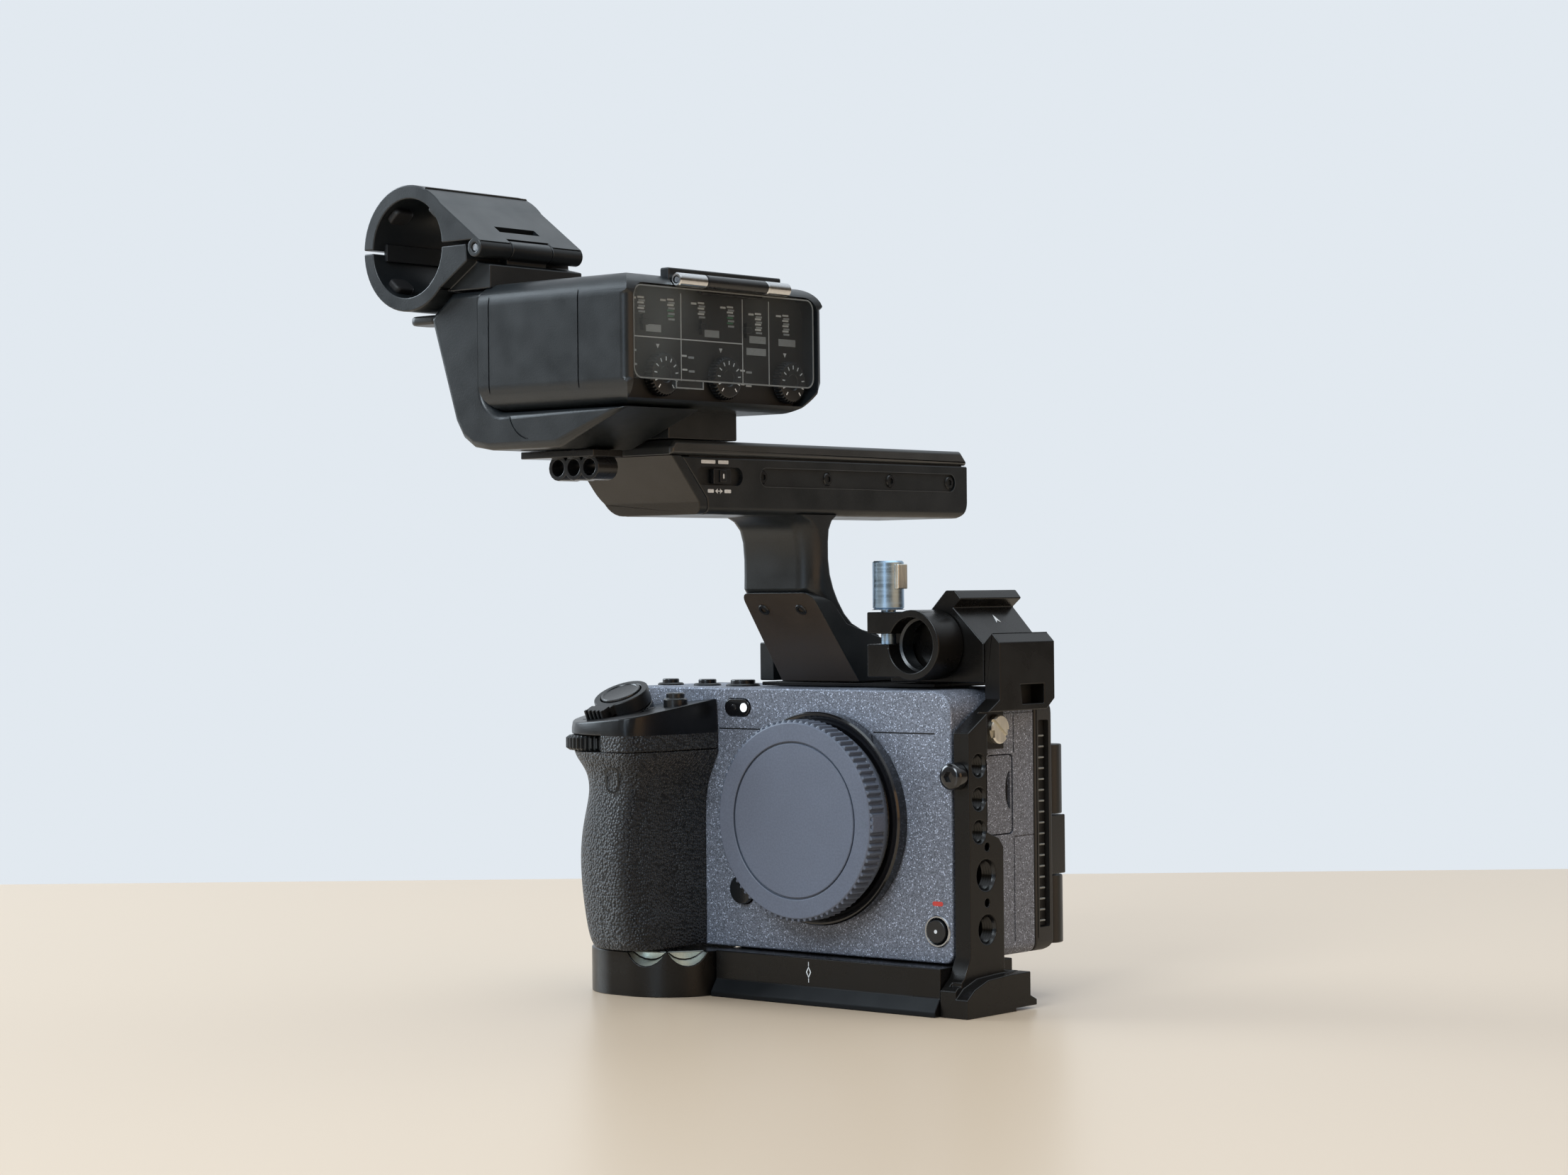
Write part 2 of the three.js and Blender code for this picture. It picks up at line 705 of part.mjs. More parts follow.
// The thumb screw has a flat on its port side, where a small lever folds down.
const clampLever = { thickness: 1.5, width: 4.4, bottom: 121, top: 128.2 };
const leverX = clampScrew.x + clampScrew.radius - 0.6;
function thumbScrew() {
  const { x, y, radius, shank, seat, top } = clampScrew;
  return cut(
    join(cylinderZ(radius, seat, top, x, y, 28), cylinderZ(shank, 97.4, seat + 1, x, y, 16)),
    block(leverX - gap, x + radius + 1, y - radius, y + radius, clampLever.bottom - gap, top + 1),
  );
}
add("clamp_screw", thumbScrew(), finish.steel);
add(
  "clamp_lever",
  block(
    leverX,
    leverX + clampLever.thickness,
    clampScrew.y - clampLever.width / 2,
    clampScrew.y + clampLever.width / 2,
    clampLever.bottom,
    clampLever.top,
  ),
  finish.steel,
);

// ---- handle ----------------------------------------------------------------------------------------
add("foot_plate", block(-36, 30, 15, 62, 92.1, 93.2), finish.cageMetal);

const footBottom = 93.5;
const audioSwitch = { front: -49.3, rear: -42, z: 153.3, height: 4.2, roomFront: -56, roomRear: -37.4 };
function handleFrame() {
  const side = new THREE.Shape();
  side.moveTo(14, footBottom);
  side.lineTo(62, footBottom);
  side.lineTo(60, 99);
  side.lineTo(25.9, 106.7);
  side.lineTo(16.3, 108);
  side.quadraticCurveTo(8, 112, 4.5, 120);
  side.quadraticCurveTo(0, 131, 4, 138);
  side.quadraticCurveTo(6, 142, 12, handle.bottom);
  side.lineTo(handle.rear - 5, handle.bottom);
  side.absarc(handle.rear - 5, handle.bottom + 5, 5, -Math.PI / 2, 0);
  side.lineTo(handle.rear, handle.seam);
  side.lineTo(-62.5 + gap, handle.seam);
  side.lineTo(-52 + gap, 147);
  side.lineTo(-51.5 + gap, handle.bottom);
  side.lineTo(-16, handle.bottom);
  side.quadraticCurveTo(-9, 140, -9, 130);
  side.lineTo(-9, 123);
  side.quadraticCurveTo(-9, 119, -6, 116.5);
  const edgeCut = (points) => extrude(outline(points), 117.5, handle.bottom);
  const bottomChamfer = (x, size, turn) =>
    alongY(
      outline([
        [x + turn, handle.bottom - 1],
        [x + turn, handle.bottom + size + 1],
        [x - turn * (size + 1), handle.bottom - 1],
      ]),
      -60,
      handle.rear + 1,
    );
  const starboardFoot = block(-36, handle.left + 1, 18, 58, footBottom, 103.5);
  return cut(
    join(alongX(side, handle.left, handle.right, 0, 5), starboardFoot),
    bottomChamfer(handle.left, 5.5, -1),
    bottomChamfer(handle.right, 2, 1),
    edgeCut([
      [-3.5, -20],
      [-3.5, -9.2],
      [2, -1.4],
      [4, -20],
    ]),
    edgeCut([
      [-30, -20],
      [-28, -1.4],
      [-21.2, -9.2],
      [-21.2, -20],
    ]),
    block(handle.left + 3, handle.right - 3, -48, handle.rear - 3, 146, handle.seam + 1),
    alongX(
      pill(audioSwitch.roomFront, audioSwitch.roomRear, audioSwitch.z - 2.6, audioSwitch.z + 2.6),
      handle.right - 1.4,
      handle.right + 1,
    ),
  );
}
add("handle_frame", handleFrame(), finish.handleMetal);
add(
  "handle_top_cover",
  alongX(
    outline([
      [handle.front, handle.seam + gap],
      [handle.rear, handle.seam + gap],
      [handle.rear, handle.top - 3],
      [handle.rear - 3, handle.top],
      [handle.front + 2, handle.top],
      [handle.front, handle.top - 2],
    ]),
    handle.left,
    handle.right,
    0.8,
  ),
  finish.handleMetal,
);
// The slanted nose of the handle has round lower corners.
function noseCover() {
  const slant = alongX(
    outline([
      [handle.front, handle.seam],
      [-55.3, 146.1],
      [-54.6, handle.bottom],
      [-51.5, handle.bottom],
      [-52, 147],
      [-62.5, handle.seam],
    ]),
    handle.left,
    handle.right,
  );
  const face = new THREE.Shape();
  face.moveTo(handle.left, handle.seam + 1);
  face.absarc(handle.left + 7.5, handle.bottom + 7.5, 7.5, Math.PI, Math.PI * 1.5);
  face.absarc(handle.right - 3, handle.bottom + 3, 3, -Math.PI / 2, 0);
  face.lineTo(handle.right, handle.seam + 1);
  return common(slant, alongY(face, handle.front - 1, -50));
}
add("handle_front_cover", noseCover(), finish.handleMetal);
add(
  "audio_switch",
  block(
    handle.right - 1.1,
    handle.right + 0.4,
    audioSwitch.front,
    audioSwitch.rear,
    audioSwitch.z - audioSwitch.height / 2,
    audioSwitch.z + audioSwitch.height / 2,
  ),
  finish.blackPlastic,
);

// ---- audio unit ------------------------------------------------------------------------------------
const barrels = [
  [-80, -68.6],
  [-43, -33.3],
];
const dialKnobs = [-81.6, -55.6, -27.9].map((y) => ({ y, z: 180, radius: 6 }));
const toggles = [-88, -64, -45].map((y) => ({ y, z: 194 }));
const cavity = { front: box.front + 2.6, rear: box.rear - 2.6, bottom: box.bottom + 2, top: box.top - 2.8 };

function cavityOutline(inset) {
  const { front, rear, bottom, top } = cavity;
  const shape = new THREE.Shape();
  shape.moveTo(front + inset, bottom + inset);
  shape.lineTo(rear - 5 - inset * 0.4, bottom + inset);
  shape.lineTo(rear - inset, bottom + 5 + inset * 0.4);
  shape.absarc(rear - 5 - inset, top - 5 - inset, 5, 0, Math.PI / 2);
  shape.absarc(front + 5 + inset, top - 5 - inset, 5, Math.PI / 2, Math.PI);
  return shape;
}

// The box stands on the handle by a spacer block. Its port side is open for the control panel.
function audioBox() {
  const round = alongY(
    roundRect(box.left, box.right, box.bottom, box.top, box.corner),
    box.front,
    box.rear,
    1.5,
  );
  const side = new THREE.Shape();
  side.moveTo(box.front, box.bottom);
  side.lineTo(box.rear - 10.5, box.bottom);
  side.lineTo(box.rear - 7, box.bottom + 1.6);
  side.lineTo(box.rear, box.bottom + 8.6);
  side.absarc(box.rear - 7, box.top - 7, 7, 0, Math.PI / 2);
  side.absarc(box.front + 5, box.top - 5, 5, Math.PI / 2, Math.PI);
  const skin = common(round, alongX(side, box.left - 1, box.right + 1));
  const room = alongX(cavityOutline(0), box.left + 2.4, box.right + 1, 0, 4);
  const hingeNotchX = 13.7;
  const hingeNotch = block(
    hingeNotchX,
    box.right + 1,
    barrels[0][0] - gap,
    barrels[1][1] + gap,
    box.top - 4,
    box.top + 1,
  );
  const spacer = block(-24, 0, -66, -37, handle.top + gap, box.bottom + 1);
  const ridge = block(10.4, hingeNotchX - 0.1, -80.5, -33, box.top - 2.4, box.top + 2.2);
  return join(cut(skin, room, hingeNotch), spacer, ridge);
}
add("audio_box", audioBox(), finish.handleMetal);

function controlPanel() {
  const plate = alongX(cavityOutline(gap), panelX - 2, panelX, 0, 4);
  return cut(
    plate,
    ...dialKnobs.map((k) => cylinderX(1.9, panelX - 3, panelX + 1, k.y, k.z, 16)),
    ...toggles.map((t) => block(panelX - 3, panelX + 1, t.y - 0.7, t.y + 0.7, t.z - 2.2, t.z + 2.2)),
  );
}
add("control_panel", controlPanel(), finish.blackPlastic);

dialKnobs.forEach((k, i) => {
  const knob = cylinderX(k.radius, panelX + gap, panelX + 3.1, k.y, k.z, 28);
  const shaft = cylinderX(1.5, panelX - 3.5, panelX + 1, k.y, k.z, 16);
  add(`audio_dial_${i + 1}`, join(knob, shaft), finish.blackPlastic);
});
toggles.forEach((t, i) => {
  const thumb = block(panelX + gap, panelX + 1.5, t.y - 1.2, t.y + 1.2, t.z - 0.8, t.z + 0.8);
  const stem = block(panelX - 3, panelX + 1, t.y - 0.4, t.y + 0.4, t.z - 0.5, t.z + 0.5);
  add(`audio_toggle_${i + 1}`, join(thumb, stem), finish.chrome);
});

// A clear cover closes the box's open side over the controls. It hangs from a hinge along the box's
// upper port edge and has a finger tab on its lower edge.
const cover = { inner: 13.9, outer: 15.5, front: -96.8, rear: -21.2, bottom: 178.3, top: 203.6 };
const coverHinge = { x: 16, z: 205.7, radius: 1.9 };
function audioCover() {
  const { inner, outer, front, rear, bottom, top } = cover;
  const { x, z, radius } = coverHinge;
  const sheet = alongX(roundRect(front, rear, bottom, top, 3), inner, outer, 0, 4);
  const tab = block(inner, outer, barrels[0][0], barrels[0][1], bottom - 2.2, bottom + 1);
  const knuckleFront = barrels[0][1] + gap;
  const knuckleRear = barrels[1][0] - gap;
  const knuckle = join(
    cylinderY(radius, knuckleFront, knuckleRear, x, z, 20),
    block(inner, outer, knuckleFront, knuckleRear, top - 1, z),
  );
  const pin = cylinderY(0.8, knuckleFront - 5, knuckleRear + 5, x, z, 12);
  return join(sheet, tab, knuckle, pin);
}
add("audio_cover", audioCover(), finish.clearCover);

barrels.forEach(([a, b], i) => {
  const sleeve = cylinderY(coverHinge.radius, a, b, coverHinge.x, coverHinge.z, 20);
  const bore = cylinderY(1.1, a - 1, b + 1, coverHinge.x, coverHinge.z, 12);
  add(`hinge_barrel_${i + 1}`, cut(sleeve, bore), finish.chrome);
});

// The input block hangs on the starboard side of the box and reaches under it to the handle.
const xlr = { front: -98, rear: -24, lean: 0.31 };
const socketGroups = [-78, -44].map((y) => {
  const group = new THREE.Group();
  group.position.set(-57.6, y, 184.4);
  group.rotation.y = Math.PI - xlr.lean;
  group.updateMatrix();
  rig.add(group);
  return group;
});
const socket = { radius: 11.5, bore: 8, proud: 2.5, depth: 9 };

function inputBlock() {
  const cornerX = box.left + box.corner;
  const cornerZ = box.bottom + box.corner;
  const profile = outline([
    [box.left - gap, 205.5],
    [-53.3, 205.5],
    [-61.2, 199.8],
    [-62, 198.4],
    [-52.6, 169.4],
    [-49.6, 164.6],
    [-45.4, 161.8],
    [-38.8, 160.7],
    [-12.7, 160.7],
    [13, box.bottom - gap],
    [cornerX, box.bottom - gap],
  ]);
  profile.absarc(cornerX, cornerZ, box.corner + gap, -Math.PI / 2, -Math.PI, true);
  return cut(
    alongY(profile, xlr.front, xlr.rear, 1.5),
    block(handle.left - gap, 20, handle.front - 0.6, 0, 150, handle.top + gap),
    block(handle.left - gap, 20, handle.front - 0.6, 0, 160, box.bottom + 1),
    ...socketGroups.map((g) =>
      cylinderX(socket.radius + gap, -socket.depth, 9, 0, 0, 32).applyMatrix4(g.matrix),
    ),
  );
}
add("input_block", inputBlock(), finish.handleMetal);

socketGroups.forEach((group, i) => {
  const shell = cylinderX(socket.radius, -socket.depth + gap, socket.proud, 0, 0, 32);
  const bore = cylinderX(socket.bore, -socket.depth + 2, socket.proud + 1, 0, 0, 28);
  add(`input_socket_${i + 1}`, cut(shell, bore), finish.blackPlastic, group);
});

// Three open loops under the input block hold a microphone cable.
function cableClip() {
  const plate = block(-38, -10, -86, -74, 158.4, 160.4);
  const loops = [-25.5, -19.5, -13.5].map((x) => cylinderY(3.6, -84, -76, x, 155.6, 16));
  const bores = [-25.5, -19.5, -13.5].map((x) => cylinderY(2.3, -85, -75, x, 155.6, 16));
  return cut(join(plate, ...loops), ...bores);
}
add("cable_clip", cableClip(), finish.blackPlastic);

// ---- microphone clamp ------------------------------------------------------------------------------
const knuckles = { front: -89.2, rear: -73.4 }; // the middle knuckle belongs to the lower half
const micRing = (z0, z1) =>
  cut(
    cylinderY(mic.outer, mic.front, mic.rear, mic.x, mic.z, 56),
    block(-100, 0, mic.front - 1, mic.rear + 1, z0, z1),
  );
const micBore = () => cylinderY(mic.inner, mic.front - 1, mic.rear + 1, mic.x, mic.z, 48);
const hingeRoom = (y0, y1) => cylinderY(micHinge.radius + 0.4, y0, y1, micHinge.x, micHinge.z, 24);
const hingeEye = (y0, y1) => cylinderY(micHinge.radius, y0, y1, micHinge.x, micHinge.z, 24);
const pinHole = () => cylinderY(1.3, mic.front - 1, mic.rear + 1, micHinge.x, micHinge.z, 12);

function micClampTop() {
  const cheek = alongY(
    outline([
      [mic.x + 7.3, 235.05],
      [mic.x + 2, mic.split + 0.5],
      [micHinge.x, mic.split + 0.5],
      [micHinge.x + 2.2, 218.8],
    ]),
    mic.front,
    mic.rear,
  );
  return cut(
    join(
      micRing(150, mic.split + 0.5),
      cheek,
      hingeEye(mic.front, knuckles.front - gap),
      hingeEye(knuckles.rear + gap, mic.rear),
    ),
    micBore(),
    hingeRoom(knuckles.front - gap, knuckles.rear + gap),
    pinHole(),
  );
}
add("mic_clamp_top", micClampTop(), finish.handleMetal);

// The lower half has a leg down to the input block.
function micClampBase() {
  const leg = alongY(
    outline([
      [mic.x + 6, mic.split - 0.5],
      [mic.x + 10, 206.5],
      [-52.4, 205.8],
      [-37.4, 205.8],
      [-37.4, 212.4],
      [-42.6, 213.6],
      [-42.9, mic.split - 0.5],
    ]),
    mic.front + 4,
    mic.rear,
  );
  const cheek = alongY(
    outline([
      [mic.x + 6, mic.split - 0.5],
      [mic.x + 13.2, 206.6],
      [-42.5, 213.4],
      [-42.9, mic.split - 0.5],
    ]),
    mic.front,
    mic.rear,
  );
  return cut(
    join(
      cut(
        join(micRing(mic.split - 0.5, 260), cheek, leg),
        hingeRoom(mic.front - 1, knuckles.front),
        hingeRoom(knuckles.rear, mic.rear + 1),
      ),
      hingeEye(knuckles.front, knuckles.rear),
      block(-43.5, micHinge.x, knuckles.front, knuckles.rear, 212, 216.5),
    ),
    micBore(),
    pinHole(),
  );
}
add("mic_clamp_base", micClampBase(), finish.handleMetal);
add(
  "mic_clamp_pin",
  cylinderY(1, mic.front + 0.4, mic.rear - 0.4, micHinge.x, micHinge.z, 16),
  finish.steel,
);

export default rig;
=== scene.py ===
"""Looks for a cinema camera in a half cage, with an audio handle and a microphone clamp.

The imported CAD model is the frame, in metres. Shapes here are built in millimetres in the same frame:
X = 0 is the lens axis, +X the port side, the camera looks along -Y, and Z = 0 is the ground.
"""
import json
import math

import bmesh
import bpy
from mathutils import Matrix, Vector
from mathutils.bvhtree import BVHTree


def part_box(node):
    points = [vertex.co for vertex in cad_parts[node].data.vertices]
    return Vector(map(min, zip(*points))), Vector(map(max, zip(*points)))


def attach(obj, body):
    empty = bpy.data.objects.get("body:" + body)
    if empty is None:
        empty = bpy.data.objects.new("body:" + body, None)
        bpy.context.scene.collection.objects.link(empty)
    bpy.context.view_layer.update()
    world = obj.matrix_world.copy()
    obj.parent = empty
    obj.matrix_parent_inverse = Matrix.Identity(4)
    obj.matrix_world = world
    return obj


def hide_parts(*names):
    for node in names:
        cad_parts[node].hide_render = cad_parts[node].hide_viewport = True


MM = 0.001
FORWARD, REARWARD, PORT, STARBOARD, UP = (0, -1, 0), (0, 1, 0), (1, 0, 0), (-1, 0, 0), (0, 0, 1)
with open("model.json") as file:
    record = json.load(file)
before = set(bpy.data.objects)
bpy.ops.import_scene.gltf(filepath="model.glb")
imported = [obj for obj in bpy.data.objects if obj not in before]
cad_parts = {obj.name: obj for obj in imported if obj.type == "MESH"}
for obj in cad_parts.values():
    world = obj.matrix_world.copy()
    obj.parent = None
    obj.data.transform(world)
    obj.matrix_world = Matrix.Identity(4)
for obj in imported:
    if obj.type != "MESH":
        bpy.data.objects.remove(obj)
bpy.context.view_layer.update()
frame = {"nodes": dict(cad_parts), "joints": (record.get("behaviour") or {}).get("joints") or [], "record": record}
OWNER = {node: body for body, nodes in frame["record"]["behaviour"]["bodies"].items() for node in nodes}
JOINT = {joint["name"]: joint for joint in frame["joints"]}
SLOT = {part["node"]: part["material_slot"] for part in frame["record"]["subparts"]}


def box(node):
    """Lowest and highest corner of a CAD node, in millimetres."""
    low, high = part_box(node)
    return low / MM, high / MM


def middle(node):
    low, high = box(node)
    return (low + high) / 2


def centre(node, axis):
    """A node's middle, moved to zero along an axis."""
    point = middle(node)
    setattr(point, axis, 0)
    return point


def pivot(joint):
    return Vector(JOINT[joint]["pos_m"]) / MM


# ---- materials ---------------------------------------------------------------------------------------
class Nodes:
    """A node tree of a material or the world, with short calls for the nodes used here."""

    def __init__(self, owner, place="Object"):
        owner.use_nodes = True
        self.owner = owner
        self.tree = owner.node_tree
        self.shader = self.tree.nodes.get("Principled BSDF")
        self.place = self.add("ShaderNodeTexCoord").outputs[place]

    def add(self, kind, **settings):
        node = self.tree.nodes.new(kind)
        for key, value in settings.items():
            setattr(node, key, value)
        return node

    def link(self, output, socket):
        self.tree.links.new(output, socket)

    def fill(self, socket, value):
        """A link from another node, or a fixed color."""
        if isinstance(value, tuple):
            socket.default_value = (*value, 1)
        else:
            self.link(value, socket)

    def surface(self, color, roughness, **values):
        """Fills the shader: its color, its roughness, and fixed values named with _ for each space."""
        self.fill(self.shader.inputs["Base Color"], color)
        if isinstance(roughness, float):
            values["Roughness"] = roughness
        else:
            self.link(roughness, self.shader.inputs["Roughness"])
        for name, value in values.items():
            self.shader.inputs[name.replace("_", " ")].default_value = value

    def mapped(self, kind, scale, where=None):
        """A node that takes a place and a scale."""
        node = self.add(kind)
        node.inputs["Scale"].default_value = scale
        self.link(where or self.place, node.inputs["Vector"])
        return node

    def noise(self, scale, detail=2.0, where=None):
        node = self.mapped("ShaderNodeTexNoise", scale, where)
        node.inputs["Detail"].default_value = detail
        return node.outputs["Fac"]

    def cells(self, scale, output="Distance"):
        return self.mapped("ShaderNodeTexVoronoi", scale).outputs[output]

    def stretch(self, *scale):
        return self.mapped("ShaderNodeMapping", scale).outputs["Vector"]

    def scaled(self, value, low, high, start=0.0, end=1.0, kind="LINEAR"):
        node = self.add("ShaderNodeMapRange", interpolation_type=kind)
        self.link(value, node.inputs["Value"])
        for name, number in (("From Min", start), ("From Max", end), ("To Min", low), ("To Max", high)):
            node.inputs[name].default_value = number
        return node.outputs["Result"]

    def blend(self, factor, first, second):
        node = self.add("ShaderNodeMix", data_type="RGBA")
        if isinstance(factor, float):
            node.inputs["Factor"].default_value = factor
        else:
            self.link(factor, node.inputs["Factor"])
        self.fill(node.inputs[6], first)
        self.fill(node.inputs[7], second)
        return node.outputs[2]

    def bump(self, *layers):
        """Stacks bump layers, each (height, depth in millimetres)."""
        normal = None
        for height, depth in layers:
            node = self.add("ShaderNodeBump")
            node.inputs["Distance"].default_value = depth * MM
            self.link(height, node.inputs["Height"])
            if normal:
                self.link(normal, node.inputs["Normal"])
            normal = node.outputs["Normal"]
        self.link(normal, self.shader.inputs["Normal"])


def new_material(name):
    return Nodes(bpy.data.materials.new(name))


def shade(color, amount):
    return tuple(min(1.0, c * amount) for c in color)


def coated(
    name, color, roughness, metallic=0.0, grain=2600, depth=0.015, mottle=0.12, spread=0.06, coat=0.0, gloss=0.5
):
    """Moulded plastic, paint or anodised metal: a fine grain, faint blotches and uneven gloss."""
    n = new_material(name)
    blotch = n.noise(90, 3.0)
    fine = n.noise(grain, 1.0)
    tone = n.blend(n.scaled(blotch, 0, 1, 0.3, 0.7), shade(color, 1 - mottle), shade(color, 1 + mottle))
    speck = n.blend(n.scaled(fine, 0, 1, 0.35, 0.65), shade(color, 0.86), shade(color, 1.14))
    uneven = n.scaled(blotch, roughness - spread, roughness + spread, 0.3, 0.7)
    values = {"Metallic": metallic, "Coat_Weight": coat, "Coat_Roughness": 0.25, "Specular_IOR_Level": gloss}
    n.surface(n.blend(0.5, tone, speck), uneven, **values)
    n.bump((fine, depth))
    return n.owner


def sparkling_paint(name, color):
    """Dark metallic paint with fine bright flakes."""
    n = new_material(name)
    flake = n.cells(3400, "Color")
    split = n.add("ShaderNodeSeparateColor")
    n.link(flake, split.inputs["Color"])
    tone = n.blend(n.scaled(split.outputs["Red"], 0, 1, 0.1, 0.95), shade(color, 0.6), shade(color, 1.5))
    flash = n.scaled(split.outputs["Green"], 0, 1, 0.93, 0.95)
    n.surface(n.blend(flash, tone, shade(color, 3.2)), n.scaled(split.outputs["Blue"], 0.42, 0.6), Metallic=0.35)
    n.bump((split.outputs["Red"], 0.012))
    return n.owner


def brushed(name, color, roughness=0.28, along=(1, 1, 0.04)):
    """Turned or brushed bare metal with fine lines."""
    n = new_material(name)
    lines = n.noise(5200, 2.0, n.stretch(*along))
    tone = n.blend(n.scaled(lines, 0, 1, 0.3, 0.7), shade(color, 0.82), shade(color, 1.1))
    n.surface(tone, n.scaled(lines, roughness - 0.08, roughness + 0.08, 0.3, 0.7), Metallic=1.0)
    n.bump((lines, 0.004))
    return n.owner


def pebbled_rubber(name, color):
    """Rubber with a leather-like pebble grain: round bumps about a millimetre apart. Their tops are painted lighter
    as a painted highlight and the hollows between them darker as painted shade.
    """
    n = new_material(name)
    pebbles = n.cells(1200)
    high = n.scaled(pebbles, 1, 0, 0.05, 0.75)
    # painted highlight and shade: each pebble's top is lighter and the hollow around it darker
    tone = n.blend(high, shade(color, 0.35), shade(color, 2.1))
    n.surface(tone, n.scaled(high, 0.6, 0.24), Sheen_Weight=0.15, Sheen_Roughness=0.4)
    n.bump((high, 0.62), (n.noise(6000, 1.0), 0.01))
    return n.owner


def printed(name, color, roughness=0.5, glow=0.0):
    """Printed or inlaid marks, with the faint unevenness of ink."""
    n = new_material(name)
    patch = n.scaled(n.noise(1500), 0, 1, 0.3, 0.7)
    tone = n.blend(patch, shade(color, 0.85), color)
    n.surface(tone, roughness, Emission_Color=(*color, 1), Emission_Strength=glow)
    return n.owner


def clear_plastic(name):
    """A thin clear sheet: mostly see-through, with a gloss that grows towards a glancing view."""
    n = new_material(name)
    clear = n.add("ShaderNodeBsdfTransparent")
    clear.inputs["Color"].default_value = (0.93, 0.95, 0.96, 1)
    smear = n.noise(60, 3.0)
    veil = n.scaled(n.noise(14, 1.0, n.stretch(1, 2.2, 1)), 0, 1, 0.4, 0.62)
    n.surface(n.blend(veil, (0.1, 0.11, 0.12), (0.3, 0.34, 0.36)), n.scaled(smear, 0.05, 0.12))
    mix = n.add("ShaderNodeMixShader")
    mix.inputs["Fac"].default_value = 0.13
    n.link(clear.outputs["BSDF"], mix.inputs[1])
    n.link(n.shader.outputs["BSDF"], mix.inputs[2])
    n.link(mix.outputs["Shader"], n.tree.nodes["Material Output"].inputs["Surface"])
    return n.owner


def board_green(name):
    """A circuit board: green with copper pads."""
    n = new_material(name)
    pads = n.scaled(n.cells(260, "Distance"), 1, 0, 0.08, 0.1)
    base = n.blend(n.scaled(n.noise(420), 0, 1, 0.45, 0.55), (0.01, 0.09, 0.045), (0.02, 0.14, 0.07))
    n.surface(n.blend(pads, base, (0.5, 0.36, 0.14)), 0.4)
    n.bump((pads, 0.1))
    return n.owner


PAINT = sparkling_paint("body_paint", (0.172, 0.19, 0.234))
CAP = coated("cap_plastic", (0.105, 0.123, 0.168), 0.5, grain=1800, depth=0.02, mottle=0.04)
CAP_RIB = coated("cap_rib_plastic", (0.105, 0.126, 0.168), 0.38)
BLACK = coated("black_plastic", (0.01, 0.011, 0.012), 0.4)
SHELL_BLACK = coated("shell_black", (0.02, 0.0195, 0.019), 0.42, grain=3200, depth=0.012)
PANEL = coated("panel_black", (0.006, 0.0065, 0.007), 0.5)
SATIN = coated("satin_black", (0.007, 0.008, 0.0095), 0.28, spread=0.04, coat=0.15)
GLOSS = coated("gloss_black", (0.004, 0.004, 0.005), 0.1, spread=0.03, depth=0.002, coat=0.5)
RUBBER = pebbled_rubber("grip_rubber", (0.0065, 0.0078, 0.0108))
SOFT = coated("pad_rubber", (0.01, 0.01, 0.011), 0.6, grain=1500, depth=0.03)
CAGE = coated("cage_anodised", (0.0042, 0.0038, 0.0035), 0.28, grain=4200, depth=0.006, gloss=0.36)
HANDLE = coated("handle_paint", (0.0092, 0.0118, 0.014), 0.36, grain=2300, depth=0.02, gloss=0.5)
# a lighter copy of the handle paint for the top cover: painted light on the top surface
HANDLE_TOP_LIT = coated("handle_top_lit_paint", (0.022, 0.025, 0.027), 0.38, grain=2300, depth=0.02, gloss=0.8)
# warm brown for the black nose's front face: a painted reflection of the warm table
NOSE_WARM_REFLECTION = coated("nose_warm_reflection", (0.0125, 0.0085, 0.0045), 0.36, grain=2300, depth=0.02, gloss=0.46)
MILLED = coated("milled_edge", (0.62, 0.68, 0.64), 0.3, metallic=0.7, spread=0.04)
# a pale colour for the clear sheet's edges: a painted highlight
EDGE_HIGHLIGHT = coated("clear_edge_highlight", (0.17, 0.19, 0.2), 0.3)
# light grey for the vent fins: a painted glint on the edges of black fins
FIN_GLINT = coated("vent_fins_glint", (0.21, 0.22, 0.21), 0.35)
COVER = coated("cover_black", (0.0035, 0.004, 0.005), 0.32, gloss=0.36)
# black threads painted darker than the cage: painted shade inside the holes
THREAD_IN_SHADE = coated("thread_black_shaded", (0.002, 0.002, 0.002), 0.2, coat=0.15, gloss=0.45)
# brown for the black foot's down-facing front: a painted reflection of the warm table
FOOT_WARM_REFLECTION = coated("foot_warm_reflection", (0.04, 0.0295, 0.0215), 0.42, grain=4200, depth=0.006, gloss=0.4)
SHADE = coated("shaded_anodised", (0.002, 0.003, 0.0042), 0.5, gloss=0.2)
# a grey much lighter than the handle, for the slot's edge: a painted highlight
RIM_HIGHLIGHT = coated("slot_rim_highlight", (0.05, 0.056, 0.06), 0.35)
STEEL = brushed("steel", (0.55, 0.58, 0.62))
BLUED = brushed("thumb_screw_steel", (0.36, 0.48, 0.6), 0.36, (0.02, 0.02, 0.25))
TAN = brushed("tan_steel", (0.84, 0.81, 0.72), 0.36)
CHROME = brushed("chrome", (0.72, 0.73, 0.74), 0.16)
CLEAR = clear_plastic("clear_cover")
GREEN = board_green("circuit_green")
WHITE_INK = printed("white_ink", (0.75, 0.78, 0.8))
GREY_INK = printed("grey_ink", (0.36, 0.39, 0.41))
GREEN_INK = printed("green_ink", (0.05, 0.2, 0.1))
RED_INK = printed("red_ink", (0.6, 0.06, 0.05))
LAMP = printed("lamp_white", (0.95, 0.97, 1.0), 0.2, glow=0.6)
SCREEN = coated("screen_glass", (0.004, 0.004, 0.005), 0.1, spread=0.02, depth=0, coat=0.8)


# ---- mesh tools --------------------------------------------------------------------------------------
def arc(x, y, radius, start, end, steps=8):
    """Points on an arc, its angles in degrees."""
    angles = (math.radians(start + (end - start) * i / steps) for i in range(steps + 1))
    return [(x + radius * math.cos(a), y + radius * math.sin(a)) for a in angles]


